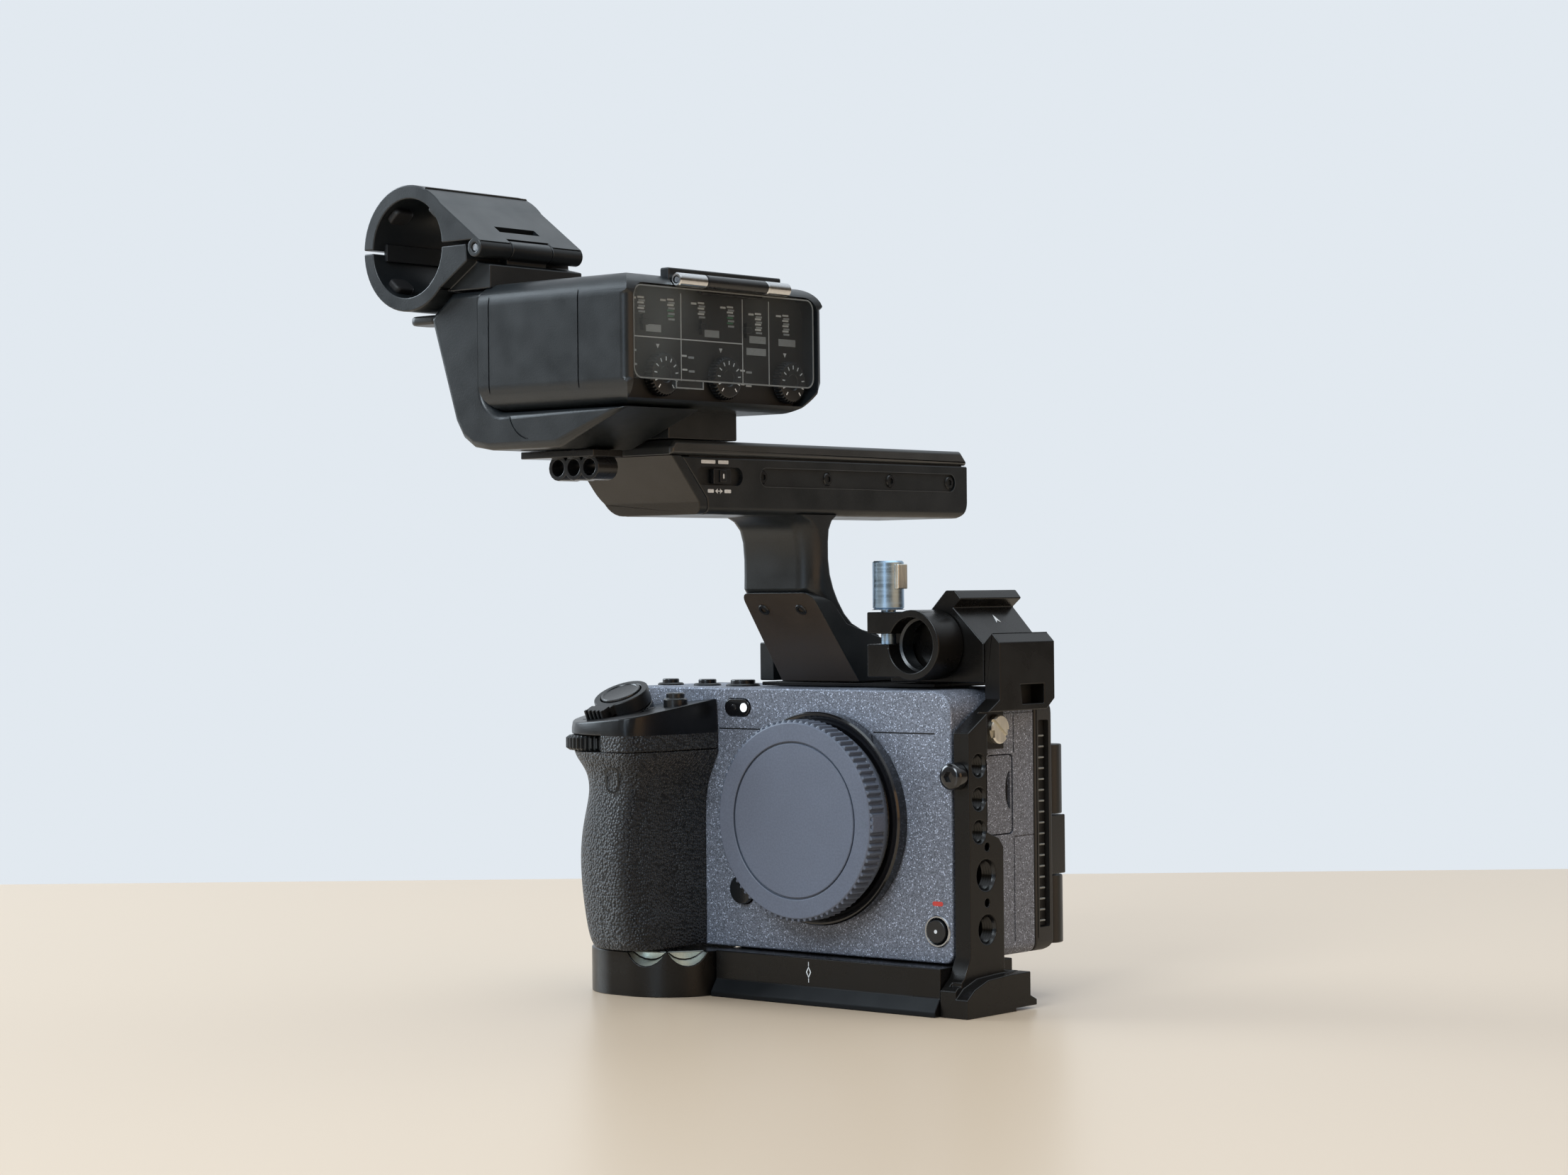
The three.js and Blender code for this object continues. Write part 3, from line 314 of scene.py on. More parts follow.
def cornered(x0, x1, y0, y1, radii, steps=8):
    """A rectangle whose corners differ: radii are (x1 y0), (x1 y1), (x0 y1), (x0 y0)."""
    a, b, c, d = radii
    return [
        *arc(x1 - a, y0 + a, a, -90, 0, steps), *arc(x1 - b, y1 - b, b, 0, 90, steps),
        *arc(x0 + c, y1 - c, c, 90, 180, steps), *arc(x0 + d, y0 + d, d, 180, 270, steps),
    ]


def rounded(x0, x1, y0, y1, radius, steps=6):
    """A rectangle with equal round corners, as an outline."""
    return cornered(x0, x1, y0, y1, [radius] * 4, steps)


def pill(x0, x1, y0, y1, steps=10):
    """An outline with half-round ends on its long axis."""
    return rounded(x0, x1, y0, y1, min(x1 - x0, y1 - y0) / 2 - 0.001, steps)


# where an outline's (u, v) and its depth w lie, for each axis it's pushed along
SPOT = {"x": lambda u, v, w: (w, u, v), "y": lambda u, v, w: (u, w, v), "z": lambda u, v, w: (u, v, w)}


def wall(bm, low, high):
    """Four-sided faces between two closed rings of points."""
    for i in range(len(low)):
        j = (i + 1) % len(low)
        bm.faces.new((low[i], low[j], high[j], high[i]))


def prism(outline, low, high, axis="z"):
    """An outline pushed from low to high along an axis. It's (y, z) along x, (x, z) along y, (x, y) along z."""
    bm = bmesh.new()
    ends = [[bm.verts.new(SPOT[axis](u, v, w)) for u, v in outline] for w in (low, high)]
    wall(bm, *ends)
    bm.faces.new(ends[0])
    bm.faces.new(ends[1])
    bmesh.ops.recalc_face_normals(bm, faces=bm.faces)
    return bm


def block(x0, x1, y0, y1, z0, z1):
    return prism([(x0, y0), (x1, y0), (x1, y1), (x0, y1)], z0, z1)


def lean(bm, matrix):
    bm.transform(matrix)
    return bm


def facing(centre, axis):
    """The matrix that puts +Z on an axis and the origin on a centre."""
    turn = Vector(UP).rotation_difference(Vector(axis)).to_matrix().to_4x4()
    return Matrix.Translation(centre) @ turn


def turned(profile, centre, axis, segments=96, teeth=0):
    """A turned solid. Profile points are (radius, height) or (radius, height, tooth depth)."""
    bm = bmesh.new()
    matrix = facing(centre, axis)
    count = teeth * 4 or segments
    rings = []
    for radius, height, *tooth in profile:
        if radius == 0:
            rings.append([bm.verts.new(matrix @ Vector((0, 0, height)))] * count)
            continue
        depth = tooth[0] if tooth else 0
        ring = []
        for i in range(count):
            r = radius - depth * (i % 4 > 1)
            a = math.tau * i / count
            ring.append(bm.verts.new(matrix @ Vector((r * math.cos(a), r * math.sin(a), height))))
        rings.append(ring)
    if profile[0][0] > 0:
        rings.append(rings[0])
    for a, b in zip(rings, rings[1:]):
        for i in range(count):
            j = (i + 1) % count
            corners = dict.fromkeys((a[i], a[j], b[j], b[i]))
            if len(corners) > 2:
                bm.faces.new(tuple(corners))
    bmesh.ops.recalc_face_normals(bm, faces=bm.faces)
    return bm


def disc(radius, low, high):
    """The profile of a plain round disc."""
    return [(0, high), (radius, high), (radius, low), (0, low)]


def lofted(*levels):
    """A solid through closed outlines of equal length, each given as (z, outline of (x, y))."""
    bm = bmesh.new()
    rings = [[bm.verts.new((x, y, z)) for x, y in outline] for z, outline in levels]
    for low, high in zip(rings, rings[1:]):
        wall(bm, low, high)
    bm.faces.new(rings[0])
    bm.faces.new(rings[-1])
    bmesh.ops.recalc_face_normals(bm, faces=bm.faces)
    return bm


def merged(*parts):
    """Several solids in one mesh."""
    whole = parts[0]
    for part in parts[1:]:
        mesh = new_mesh("part", part)
        whole.from_mesh(mesh)
        bpy.data.meshes.remove(mesh)
    return whole


def new_object(name, data):
    obj = bpy.data.objects.new(name, data)
    bpy.context.scene.collection.objects.link(obj)
    return obj


def new_mesh(name, bm):
    mesh = bpy.data.meshes.new(name)
    bm.to_mesh(mesh)
    bm.free()
    return mesh


def loose_object(bm):
    return new_object("loose", new_mesh("loose", bm))


def evaluated(obj):
    """The object's mesh with its modifiers, as a bmesh. The object is removed."""
    mesh = bpy.data.meshes.new_from_object(obj.evaluated_get(bpy.context.evaluated_depsgraph_get()))
    bpy.data.objects.remove(obj)
    bm = bmesh.new()
    bm.from_mesh(mesh)
    bpy.data.meshes.remove(mesh)
    return bm


def carve(bm, *tools, operation="DIFFERENCE"):
    """Cuts the tools out of a solid, or with another operation joins them to it."""
    base = loose_object(bm)
    cutter = loose_object(merged(*tools))
    modifier = base.modifiers.new("cut", "BOOLEAN")
    modifier.operation = operation
    modifier.solver = "EXACT"
    modifier.object = cutter
    result = evaluated(base)
    bpy.data.objects.remove(cutter)
    return result


def common(bm, other):
    return carve(bm, other, operation="INTERSECT")


def soften(bm, width, segments=2, angle=28, chosen=lambda edge: True):
    """Rounds every edge sharper than angle, or those of them that a test picks."""
    sharp = [e for e in bm.edges if len(e.link_faces) == 2 and e.calc_face_angle(0) > math.radians(angle)]
    edges = [edge for edge in sharp if chosen(edge)]
    shape = {"offset": width, "offset_type": "OFFSET", "segments": segments, "profile": 0.5, "affect": "EDGES"}
    bmesh.ops.bevel(bm, geom=edges, **shape)
    return bm


def cad_mesh(node):
    """A CAD node's mesh in millimetres, its triangles joined at their corners."""
    bm = bmesh.new()
    bm.from_mesh(frame["nodes"][node].data)
    bm.transform(Matrix.Scale(1 / MM, 4))
    bmesh.ops.remove_doubles(bm, verts=bm.verts, dist=0.003)
    return bm


def cad_shape(node, width=0.0, segments=2, angle=28):
    """A CAD node's own shape, with its flat faces made whole and its edges rounded. Faces may have no holes."""
    bm = cad_mesh(node)
    bmesh.ops.dissolve_limit(bm, angle_limit=math.radians(0.7), verts=bm.verts, edges=bm.edges)
    return soften(bm, width, segments, angle) if width else bm


def place(name, bm, look, body, slot, stands_for=(), smooth=32):
    """Makes a piece from a shape in millimetres and puts it on its CAD body."""
    mesh = new_mesh(name, bm)
    mesh.transform(Matrix.Scale(MM, 4))
    mesh.materials.append(look)
    mesh.shade_smooth()
    mesh.set_sharp_from_angle(angle=math.radians(smooth))
    obj = new_object(name, mesh)
    obj.modifiers.new("even_shading", "WEIGHTED_NORMAL").keep_sharp = True
    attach(obj, body)
    if stands_for:
        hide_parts(*stands_for)
    return obj


def dress(node, bm, look, smooth=32):
    """A finished piece in place of one CAD node."""
    return place(f"{node}_skin", bm, look, OWNER[node], SLOT[node], (node,), smooth)


def keep(node, look, width, segments=3):
    """A node with its CAD shape and rounded edges."""
    return dress(node, cad_shape(node, width, segments), look)


def trim(name, bm, look, slot="black_plastic"):
    """A small fixed detail that has no CAD node of its own."""
    place(name, bm, look, "rig", slot)


def repaint(obj, look, chosen):
    """Gives a second material to the faces that a test picks. It's told each face and its centre in millimetres."""
    obj.data.materials.append(look)
    for face in obj.data.polygons:
        if chosen(face, face.center / MM):
            face.material_index = 1


# ---- camera body -------------------------------------------------------------------------------------
SHELL_LOW, SHELL_HIGH = box("front_shell")
SIDE = SHELL_HIGH.x  # the body's port side
SEAM = SHELL_HIGH.y  # where the front half ends
LENS = Vector((0, 0, middle("body_cap").z))
LINE = 0.42  # width and depth of the panel lines
WALL = 2.4
GAP = 0.3  # between a part and the opening it sits in
BODY_CORNERS = (3, 7, 6, 6)
RELEASE = Vector((-31, 0, 31.5))  # the lens release button


def shell_outline(inset=0.0):
    low, high = box("rear_shell")
    radii = [max(1, radius - inset) for radius in BODY_CORNERS]
    return cornered(low.x + inset, high.x - inset, low.z + inset, high.z - inset, radii)


def door_outline(node, corner, margin=0):
    low, high = box(node)
    return rounded(low.y - margin, high.y + margin, low.z - margin, high.z + margin, corner)


def round_hole(x, z, radius, low, high, axis="y"):
    return prism(arc(x, z, radius, 0, 354, 59), low, high, axis)


def front_shell():
    left, right, top = SHELL_LOW.x, SIDE, SHELL_HIGH.z
    skin = soften(prism(shell_outline(), 0, SEAM, "y"), 0.7, 3)
    hollow = prism(shell_outline(WALL), WALL, SEAM + 1, "y")
    record = middle("rec_button")
    round_ones = ((LENS, 27), (RELEASE, 4.7), (record, 3.8))
    holes = [round_hole(spot.x, spot.z, radius, -1, WALL + 1) for spot, radius in round_ones]
    low, high = box("tally_window")
    holes.append(prism(pill(low.x - GAP, high.x + GAP, low.z - GAP, high.z + GAP), -1, 1.2, "y"))
    for i, radius in enumerate((3.0, 3.1, 4.1), 1):
        holes.append(round_hole(middle(f"top_button_{i}").x, 14, radius, top - WALL - 1, top + 1, "z"))
    holes.append(prism(door_outline("port_door", 1.5, GAP), right - WALL - 1, right + 1, "x"))
    holes.append(prism(door_outline("media_door", 2, GAP), left - 1, left + WALL + 1, "x"))
    front = carve(carve(skin, hollow), *holes)
    ends, height = ((-40.5, -22), (19, 41.5)), 79.3  # of the two lines across the front
    lines = [block(x0, x1, -1, LINE, height, height + LINE) for x0, x1 in ends]
    for y0, y1, z0, z1 in (
        (29.7, 29.7 + LINE, 73.1, 84.2),
        (19, 41, 84.4, 84.4 + LINE),
        (29.9, 41, 48.4, 48.4 + LINE),
        (29.7, 29.7 + LINE, 18, 48.2),
    ):
        lines.append(block(right - LINE, right + 1, y0, y1, z0, z1))
    dress("front_shell", carve(front, *lines), PAINT)
    dark = [block(x0, x1, LINE - 0.08, LINE + 0.05, height, height + LINE) for x0, x1 in ends]
    trim("panel_lines", merged(*dark), BLACK)


def rear_shell():
    """The rear half has a larger round edge at the top rear. The comb of air fins sits in its port side."""
    seam, back = SEAM, box("rear_shell")[1].y
    left, right, top = SHELL_LOW.x, SIDE, SHELL_HIGH.z
    base, turn = SHELL_LOW.z, 8
    side = [(seam + GAP, base), *arc(back - 3, base + 3, 3, -90, 0), *arc(back - turn, top - turn, turn, 0, 90)]
    side.append((seam + GAP, top))
    rear = prism(shell_outline(), seam + GAP, back + 1, "y")
    rear = soften(common(rear, prism(side, left - 1, right + 1, "x")), 0.7, 3)
    low, high = box("vent_grille")
    low, high = low - Vector((0, 1.1, 0)), high + Vector((0, 1.1, 0))
    slot = rounded(low.y - GAP, high.y + GAP, low.z - GAP, high.z + GAP, 0.6)
    slot = prism(slot, right - WALL - 1, right + 1, "x")
    spot = middle("rear_dial")
    hub = round_hole(spot.x, spot.z, 3.3, back - WALL - 1, back + 1)
    rear = carve(carve(rear, prism(shell_outline(WALL), seam - 1, back - WALL, "y")), slot, hub)
    edge = block(right - LINE, right + 1, seam + 1.2, seam + 1.2 + LINE, 18, 88)
    dress("rear_shell", carve(rear, edge), SHELL_BLACK)
    fins = []
    pitch = 3.2
    for k in range(int((high.z - low.z) / pitch)):
        z = low.z + 1.4 + k * pitch
        fins.append(soften(block(right - 1.5, right - 0.15, low.y - 0.2, low.y + 2.7, z, z + 0.5), 0.1, 1))
    backing = block(low.x, low.x + 0.8, low.y, high.y, low.z, high.z)
    # the fins' light grey is a painted glint; the grille's backing keeps its own black
    grille = dress("vent_grille", merged(backing, *fins), FIN_GLINT)
    repaint(grille, BLACK, lambda face, at: at.x < low.x + 0.9)


def doors():
    low, high = box("port_door")
    door = soften(prism(door_outline("port_door", 1.5), low.x, high.x, "x"), 0.25, 2)
    at, tall = 62.3, 2.4  # the finger dent's middle, and how much taller it is than a half circle
    half = [(y, at + (z - at) * tall) for y, z in arc(28.3, at, 2.3, 90, 270, 10)]
    finger = prism(half, high.x - 1.1, high.x + 1, "x")
    dress("port_door", carve(door, finger), PAINT)
    well = prism(half, high.x - 1.15, high.x - 0.95, "x")
    place("port_door_well", well, BLACK, OWNER["port_door"], "black_plastic")
    low, high = box("media_door")
    door = soften(prism(door_outline("media_door", 2), low.x, high.x, "x"), 0.3, 2)
    finger = prism(pill(low.y + 1.6, low.y + 3.6, 45, 59), low.x - 1, low.x + 0.7, "x")
    dress("media_door", carve(door, finger), PAINT)


def tally_lamp():
    low, high = box("tally_window")
    z = middle("tally_window").z
    window = soften(prism(pill(low.x, high.x, low.z, high.z, 16), low.y, high.y, "y"), 0.25, 3)
    dress("tally_window", window, GLOSS)
    lamp = [(0, 0.12), (1.0, 0.1), (1.35, 0), (1.35, -0.1), (0, -0.1)]
    trim("tally_lamp", turned(lamp, (high.x - 2.3, low.y, z), FORWARD, 32), LAMP, "gloss_black")
    eye = [(0, 0.06), (0.8, 0.05), (0.95, 0), (0.95, -0.1), (0, -0.1)]
    trim("tally_sensor", turned(eye, (low.x + 3.6, low.y, z), FORWARD, 24), SCREEN, "gloss_black")


def lens_mount():
    ring = [(26.8, 0.3), (26.8, 3.3), (27.2, 3.6), (30.3, 4.3), (30.9, 4.1), (31.3, 3.5), (31.3, 0.3)]
    dress("mount_bezel", turned(ring, LENS, FORWARD, 160), GLOSS)
    keep("lens_flange", STEEL, 0.25, 2)


def body_cap():
    """The cap's face has one round groove. Its edge has ribs and a smooth rim behind them."""
    face = -box("body_cap")[0].y
    radius = box("body_cap")[1].x
    profile = [
        (0, face - 0.12), (22.2, face - 0.12), (22.42, face - 0.3), (22.45, face - 0.85),
        (22.95, face - 0.85), (22.98, face - 0.15), (23.2, face), (radius - 1.2, face),
        (radius - 0.95, face - 0.1), (radius - 0.75, face - 0.35), (radius, face - 0.55, 1.0),
        (radius, face - 6.2, 1.0), (radius - 0.7, face - 6.4), (radius - 0.6, face - 7.3),
        (radius - 0.8, face - 7.7), (radius - 1.2, face - 7.9), (radius - 1.4, face - 9.2),
        (22.4, face - 9.2), (22.4, -2.4), (20.4, -2.4), (20.4, face - 2.2), (0, face - 2.2),
    ]
    cap = dress("body_cap", turned(profile, LENS, FORWARD, teeth=82), CAP)
    repaint(cap, CAP_RIB, lambda polygon, at: at.y > 0.45 - face)
    index = prism(pill(24.6, 27.7, LENS.z - 0.85, LENS.z + 0.85), -face - 0.02, -face + 0.3, "y")
    place("body_cap_index", index, CAP_RIB, "body_cap", "cap_plastic")
    lug = soften(block(27.5, radius, -face + 0.7, -face + 6.4, LENS.z - 2.4, LENS.z + 2.4), 0.3)
    place("body_cap_lug", lug, CAP, "body_cap", "cap_plastic")


def body_buttons():
    face = -box("lens_release_button")[0].y
    button = [(0, face), (3.6, face), (4.2, face - 0.25), (4.4, face - 0.8), (4.4, -2), (0, -2)]
    dress("lens_release_button", turned(button, RELEASE, FORWARD, 64), SATIN)
    keep("rec_button", SATIN, 0.35)
    low, high = box("grip_button")
    stepped = [(0, high.z), (2.5, high.z), (2.8, high.z - 0.3), (2.8, high.z - 1.5), (3.3, high.z - 1.7)]
    stepped += [(3.6, high.z - 2.1), (3.6, low.z), (0, low.z)]
    dress("grip_button", turned(stepped, centre("grip_button", "z"), UP, 48), SATIN)
    spot = centre("rec_button", "y")
    ring = [(3.75, -0.4), (3.75, 0.25), (4.0, 0.5), (4.35, 0.5), (4.6, 0.25), (4.6, -0.4)]
    trim("rec_ring", turned(ring, spot, FORWARD, 64), STEEL, "steel")
    dot = turned(disc(0.55, -0.05, 0.04), (spot.x, box("rec_button")[0].y, spot.z), FORWARD, 24)
    place("rec_dot", dot, WHITE_INK, "rec_button", "black_plastic")
    mark = prism(pill(spot.x - 1.9, spot.x + 1.9, spot.z + 7.2, spot.z + 8.5), -0.06, 0.1, "y")
    trim("rec_mark", mark, RED_INK, "body_paint")
    for i in range(1, 4):
        node = f"top_button_{i}"
        keep(node, SATIN, 0.4)
        low, high = box(node)
        inner = (high.x - low.x) / 2 - 0.55
        outer = inner + 1.1
        at = centre(node, "z") + Vector((0, 0, SHELL_HIGH.z))
        collar = [(inner, -0.4), (inner, 0.5), (inner + 0.3, 0.75)]
        collar += [(outer - 0.4, 0.75), (outer, 0.4), (outer, -0.4)]
        trim(f"top_button_collar_{i}", turned(collar, at, UP, 48), BLACK)


def back_controls():
    """The back was designed freely: a thumb pad, a stick and four buttons beside the wheel."""
    back = box("rear_shell")[1].y
    low, high = box("rear_dial")
    radius = (high.x - low.x) / 2
    wheel = [
        (0, back - 3), (2.8, back - 3), (2.8, low.y + 3.2), (radius - 0.5, low.y + 3.2),
        (radius, low.y + 3.6, 0.45), (radius, high.y - 0.5, 0.45), (radius - 0.5, high.y),
        (radius - 4, high.y), (radius - 4.3, high.y - 0.4), (4.6, high.y - 0.4), (4.2, high.y),
        (3.4, high.y), (0, high.y - 0.3),
    ]
    dress("rear_dial", turned(wheel, centre("rear_dial", "y"), REARWARD, teeth=56), SATIN)
    button = [(0, 1.3), (2.2, 1.3), (2.6, 1.0), (2.6, 0.3), (3.3, 0.3), (3.5, 0), (3.5, -0.3), (0, -0.3)]
    for i, (x, z) in enumerate(((-40, 66), (-40, 80), (-54, 80), (-75, 56)), 1):
        trim(f"back_button_{i}", turned(button, (x, back, z), REARWARD, 40), SATIN)
    stick = [(0, 3.4), (1.8, 3.2), (2.6, 2.6), (2.6, 2.1), (1.5, 1.6), (1.5, 0.4)]
    stick += [(4.2, 0.3), (4.6, 0), (4.6, -0.3), (0, -0.3)]
    trim("back_stick", turned(stick, (-52, back, 64), REARWARD, 48), SOFT)
    pad = soften(prism(rounded(-80.5, -67, 62, 87, 5), back - 0.4, back + 2.2, "y"), 1.2, 4)
    trim("thumb_pad", pad, RUBBER, "grip_rubber")


def monitor():
    low, high = box("monitor")
    case = cad_shape("monitor", 0.45, 3)
    leaf = cad_shape("monitor_hinge", 0.35, 3)
    deeper = 0.5  # than the CAD, toward the rear
    for vert in (*case.verts, *leaf.verts):
        vert.co.y += deeper * (vert.co.y > 55)
    high.y += deeper
    dress("monitor", case, BLACK)
    glass = prism(rounded(low.x + 3, high.x - 12.5, low.z + 3.2, high.z - 3.2, 1), high.y - 0.3, high.y + 0.08, "y")
    place("monitor_glass", soften(glass, 0.1), SCREEN, "monitor", "gloss_black")
    dress("monitor_hinge", leaf, SATIN)


# ---- grip --------------------------------------------------------------------------------------------
VIEWER = Vector((0.645, -0.764, 0))  # level, to the front and the port side
ACROSS = Vector((0.764, 0.645, 0))


def ramp(value, start, end):
    """A smooth step from 0 to 1."""
    t = min(1, max(0, (value - start) / (end - start)))
    return t * t * (3 - 2 * t)


def smooth_grip():
    """The CAD grip with its facets subdivided into one smooth skin. Its flat back and ends stay flat."""
    bm = cad_mesh("grip")
    limit = math.radians(40)
    bmesh.ops.join_triangles(bm, faces=bm.faces, angle_face_threshold=limit, angle_shape_threshold=math.pi)
    crease = bm.edges.layers.float.new("crease_edge")
    for edge in bm.edges:
        if len(edge.link_faces) == 2 and edge.calc_face_angle(0) > math.radians(50):
            edge[crease] = 1
    obj = loose_object(bm)
    obj.modifiers.new("smooth", "SUBSURF").levels = 3
    bm = evaluated(obj)
    bm.normal_update()
    for vert in bm.verts:
        toward = vert.normal.dot(VIEWER)
        if toward > 0.15:
            across, z = vert.co.dot(ACROSS), vert.co.z
            edge = -58 + 5 * ramp(z, 46, 76)  # the ridge line, nearer to the lens higher up
            hollow = ramp(across, edge, edge + 3.5) * (1 - ramp(across, edge + 10, edge + 18))
            hollow *= ramp(z, 22.5, 27) * (1 - ramp(z, 66, 73)) * ramp(toward, 0.15, 0.5)
            vert.co -= VIEWER * 1.7 * hollow
    return bm


def draped_ring(skin, across, height, width, length, line):
    """A thin pill-shaped line laid on a skin, as met from the front and port side. Across is from the lens axis."""
    tree = BVHTree.FromBMesh(skin)
    rings = []
    for inset, lift in ((0, 0.14), (line, 0.14), (line, -0.3), (0, -0.3)):
        ring = []
        for u, z in pill(inset - width / 2, width / 2 - inset, inset - length / 2, length / 2 - inset):
            start = ACROSS * (across + u) + Vector((0, 0, height + z)) + VIEWER * 300
            ring.append(tree.ray_cast(start, -VIEWER)[0] + VIEWER * lift)
        rings.append(ring)
    bm = bmesh.new()
    rings = [[bm.verts.new(point) for point in ring] for ring in rings]
    for first, second in zip(rings, rings[1:] + rings[:1]):
        wall(bm, first, second)
    bmesh.ops.recalc_face_normals(bm, faces=bm.faces)
    return bm


def grip():
    skin = smooth_grip()
    trim("grip_inset", draped_ring(skin, -62.6, 65, 4.2, 7.8, 0.5), COVER)
    dress("grip", skin, RUBBER, 50)
    cover = cad_shape("grip_top_cover", 0.45, 3, 34)
    band = box("grip_top_cover")[0].z + 4.8  # the rubber reaches up to here over the cover
    parts = [*cover.verts, *cover.edges, *cover.faces]
    bmesh.ops.bisect_plane(cover, geom=parts, plane_co=(0, 0, band), plane_no=UP)
    cover = dress("grip_top_cover", cover, COVER, 34)
    repaint(cover, RUBBER, lambda face, at: at.z < band)


def wheels():
    low, high = box("front_dial")
    radius = (high.x - low.x) / 2
    wheel = [
        (0, low.z), (radius - 1, low.z), (radius, low.z + 0.7, 0.8), (radius, high.z - 0.7, 0.8),
        (radius - 1, high.z), (0, high.z),
    ]
    dress("front_dial", turned(wheel, centre("front_dial", "z"), UP, teeth=42), BLACK)

    on_lever = facing(pivot("zoom_rock"), JOINT["zoom_rock"]["axis"])
    keep("zoom_lever", BLACK, 0.35)
    ribs = [block(-3.6, 3.6, -12.6, -9.6, 1.3, 5.5)]
    ribs += [block(x - 0.4, x + 0.4, -13.5, -12.5, 1.3, 5.7) for x in (-3.2, -1.6, 0, 1.6, 3.2)]
    tab = merged(*[soften(rib, 0.2, 2) for rib in ribs])
    place("zoom_tab", lean(tab, on_lever), BLACK, "zoom_lever", "black_plastic")
    top = [
        (0, 1.4), (6.2, 1.4), (6.2, 5.0), (6.05, 5.35), (5.75, 5.5), (5.4, 5.42), (5.2, 5.2), (3.5, 5.05),
        (0, 4.95),
    ]
    dress("shutter_button", lean(turned(top, (0, 0, 0), UP, 96), on_lever), SATIN)


# ---- cage --------------------------------------------------------------------------------------------
def thread(radius, length, centre, axis, pitch=0.9):
    """The ridged inner wall of a threaded hole."""
    wall = [(radius - 0.02, length), (radius - 0.02, 0)]
    count = int(length / pitch)
    for i in range(count):
        wall += [(radius - 0.1, i * pitch + 0.05), (radius - 0.55, i * pitch + pitch / 2)]
    wall.append((radius - 0.1, length - 0.05))
    return turned(wall, centre, axis, 40)


def cap_screw(name, centre, axis, radius, proud):
    """A small dark screw head with a six-sided socket."""
    profile = [(0, proud), (radius - 0.3, proud), (radius, proud - 0.3), (radius, -0.3), (0, -0.3)]
    head = turned(profile, (0, 0, 0), UP, 32)
    socket = prism(arc(0, 0, radius * 0.5, 0, 300, 5), proud - 0.7, proud + 1)
    trim(name, lean(carve(head, socket), facing(centre, axis)), SATIN, "steel")


def cage():
    for node, width in (("base_plate", 0.35), ("side_bracket", 0.3), ("rod_clamp", 0.4), ("foot_plate", 0.2)):
        keep(node, CAGE, width)
    repaint(bpy.data.objects["base_plate_skin"], SHADE, lambda face, at: at.z < 5.4 and at.y < -7.6)
    low, high = box("top_arm")
    section = [
        (low.x, low.z), (high.x, low.z), (high.x, 105), (37.4, 115.4), (40.2, 118), (37.9, high.z),
        (34.5, high.z), (28.5, 114.3), (low.x, 114.3),
    ]
    length = [(low.y, low.z), (41, low.z), (41, 103), (42.6, 105), (44.9, high.z), (low.y, high.z)]
    arm = common(prism(section, low.y, 50, "y"), prism(length, low.x - 1, high.x + 1, "x"))
    dress("top_arm", soften(arm, 0.4, 3), CAGE)
    slope = Matrix.Translation((41, 30.5, 111.97)) @ Matrix.Rotation(math.radians(43.9), 4, "Y")
    arrow = prism([(-1.6, 0), (1.5, 1.1), (0.6, 0), (1.5, -1.1)], -0.05, 0.08)
    trim("arm_arrow", lean(arrow, slope), WHITE_INK, "cage_metal")
    backing = block(48.7, 53, 25.8, 36.1, 86.6, 87.2)
    trim("strap_slot_floor", merged(backing, block(48.7, 49.2, 25.4, 36.5, 86.6, 93.4)), BLACK, "cage_metal")
    liner = [(7.95, 1.2), (7.2, 1.6), (7.2, 6.5), (7.95, 6.9)]
    trim("rod_clamp_liner", turned(liner, (31, 6.4, 104.7), REARWARD, 64), SATIN, "cage_metal")

    foot = keep("grip_base", CAGE, 0.35)
    repaint(foot, MILLED, lambda face, at: 0.15 < abs(face.normal.z) < 0.97 and face.area > 1.5 * MM * MM)

    inner = box("side_bracket")[0].x
    threads = ((4.2, 70.6, 3.4), (4.2, 61.1, 3.4), (4.2, 51.8, 3.4), (7.2, 39.3, 4.6), (7.6, 23.8, 4.3))
    for i, (y, z, r) in enumerate(threads, 1):
        wall = thread(r, 5, (inner + 0.3, y, z), PORT)
        # a black disc at the bottom of each hole stands in front of the body's side: painted shade, like the
        # threads' darker black
        floor = turned(disc(r - 0.3, 0.1, 0.5), (inner, y, z), PORT, 40)
        trim(f"bracket_thread_shaded_{i}", merged(wall, floor), THREAD_IN_SHADE, "cage_metal")
    for i, x in enumerate((-20, 22), 1):
        trim(f"tripod_thread_{i}", thread(3.2, 8.4, (x, 14, 0.3), UP), STEEL, "steel")

    pad = soften(block(-36, 44, 4, 26, 13.3, 14.1), 0.1, 1)
    trim("base_pad", pad, SOFT, "grip_rubber")
    front = box("base_plate")[0].y + 2.5  # the plate's upright front face
    rhombus = [(0.95, 9.4), (0, 11.1), (-0.95, 9.4), (0, 7.7)]
    small = [(x * 0.6, 9.4 + (z - 9.4) * 0.72) for x, z in rhombus]
    mark = carve(prism(rhombus, front - 0.05, front + 0.2, "y"), prism(small, front - 1, front + 1, "y"))
    trim("centre_mark", mark, WHITE_INK, "cage_metal")
    for i, z in enumerate((7.0, 11.8), 1):
        bar = block(-0.12, 0.12, front - 0.05, front + 0.2, z - 0.6, z + 0.6)
        trim(f"centre_tick_{i}", bar, WHITE_INK, "cage_metal")


